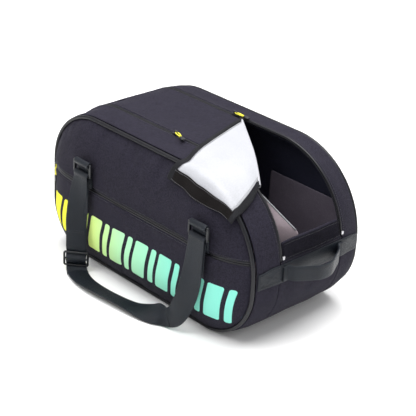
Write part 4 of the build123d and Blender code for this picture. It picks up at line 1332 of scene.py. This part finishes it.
# ---- zipper pulls
PULL_RINGS = ((0.0, 0.30, 0.50), (0.06, 0.62, 0.92), (0.18, 0.80, 1.0), (0.55, 0.95, 1.0), (0.82, 1.0, 0.92),
              (0.95, 0.90, 0.70), (1.0, 0.62, 0.36))


def squarish(value):
    """A sine or cosine pushed outwards, which rounds a rectangle's corners."""
    return math.copysign(abs(value) ** 0.55, value)


def add_pull(prefix, body, forward, up, pivot):
    """A knotted cord loop through the slider's bridge, with a moulded end."""
    forward, up, pivot = Vector(forward).normalized(), Vector(up).normalized(), Vector(pivot)
    side = forward.cross(up)
    length, half = 0.0215, 0.0029
    loop = []
    for t in np.linspace(0, 2 * math.pi, 40, endpoint=False):
        along = length / 2 * (1 - math.cos(t))
        spread = half * math.sin(t) * (1.0 - 0.42 * (along / length))
        rise = 0.0004 * math.sin(along / length * math.pi)
        loop.append(pivot + forward * (along - 0.0002) + side * spread + up * rise)
    cord = tube(f"{prefix}_cord_loop", loop, 0.0011, pull_yellow, 12, True)
    finish_piece(cord, body, "pull_cord", f"{prefix}_cord")
    knot = []
    for t in np.linspace(0, 2 * math.pi, 28, endpoint=False):
        knot.append(pivot + forward * (0.0190 + 0.0006 * math.sin(2 * t)) + side * math.cos(t) * 0.0017
                    + up * math.sin(t) * 0.0017)
    finish_piece(tube(f"{prefix}_knot", knot, 0.0009, pull_yellow, 10, True), body, "pull_cord")
    start, end = length - 0.0006, length + 0.0122
    rings = []
    for share, wide, thick in PULL_RINGS:
        groove = 1 - 0.22 * math.exp(-((share - 0.4) / 0.10) ** 2)
        centre = pivot + forward * (start + share * (end - start))
        turns = [2 * math.pi * k / 20 for k in range(20)]
        rings.append([centre + side * squarish(math.cos(turn)) * wide * 0.0040
                      + up * squarish(math.sin(turn)) * thick * 0.0019 * groove for turn in turns])
    piece = lofted(f"{prefix}_grip", [rings], pull_plastic)
    soft = piece.modifiers.new("smooth", "SUBSURF")
    soft.levels = soft.render_levels = 1
    finish_piece(piece, body, "pull_plastic", f"{prefix}_end")


def pull_axes(prefix, up):
    """Where a pull turns and which way it points, from its two CAD pieces."""
    end_low, end_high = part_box(f"{prefix}_end")
    joint = next(j for j in frame["joints"] if j["name"] == f"{prefix}_flip")
    pivot = Vector(joint["pos_m"])
    tip = (end_low + end_high) / 2
    return tip - pivot, up, pivot


for prefix in ("main_pull_front", "main_pull_rear"):
    add_pull(prefix, prefix, *pull_axes(prefix, (0, 0, 1)))
add_pull("pocket_pull", "pocket_pull", *pull_axes("pocket_pull", (-0.29, -0.957, 0)))
for name in ("main_slider_front", "main_slider_rear", "pocket_slider"):
    repaint(name, slider_metal)
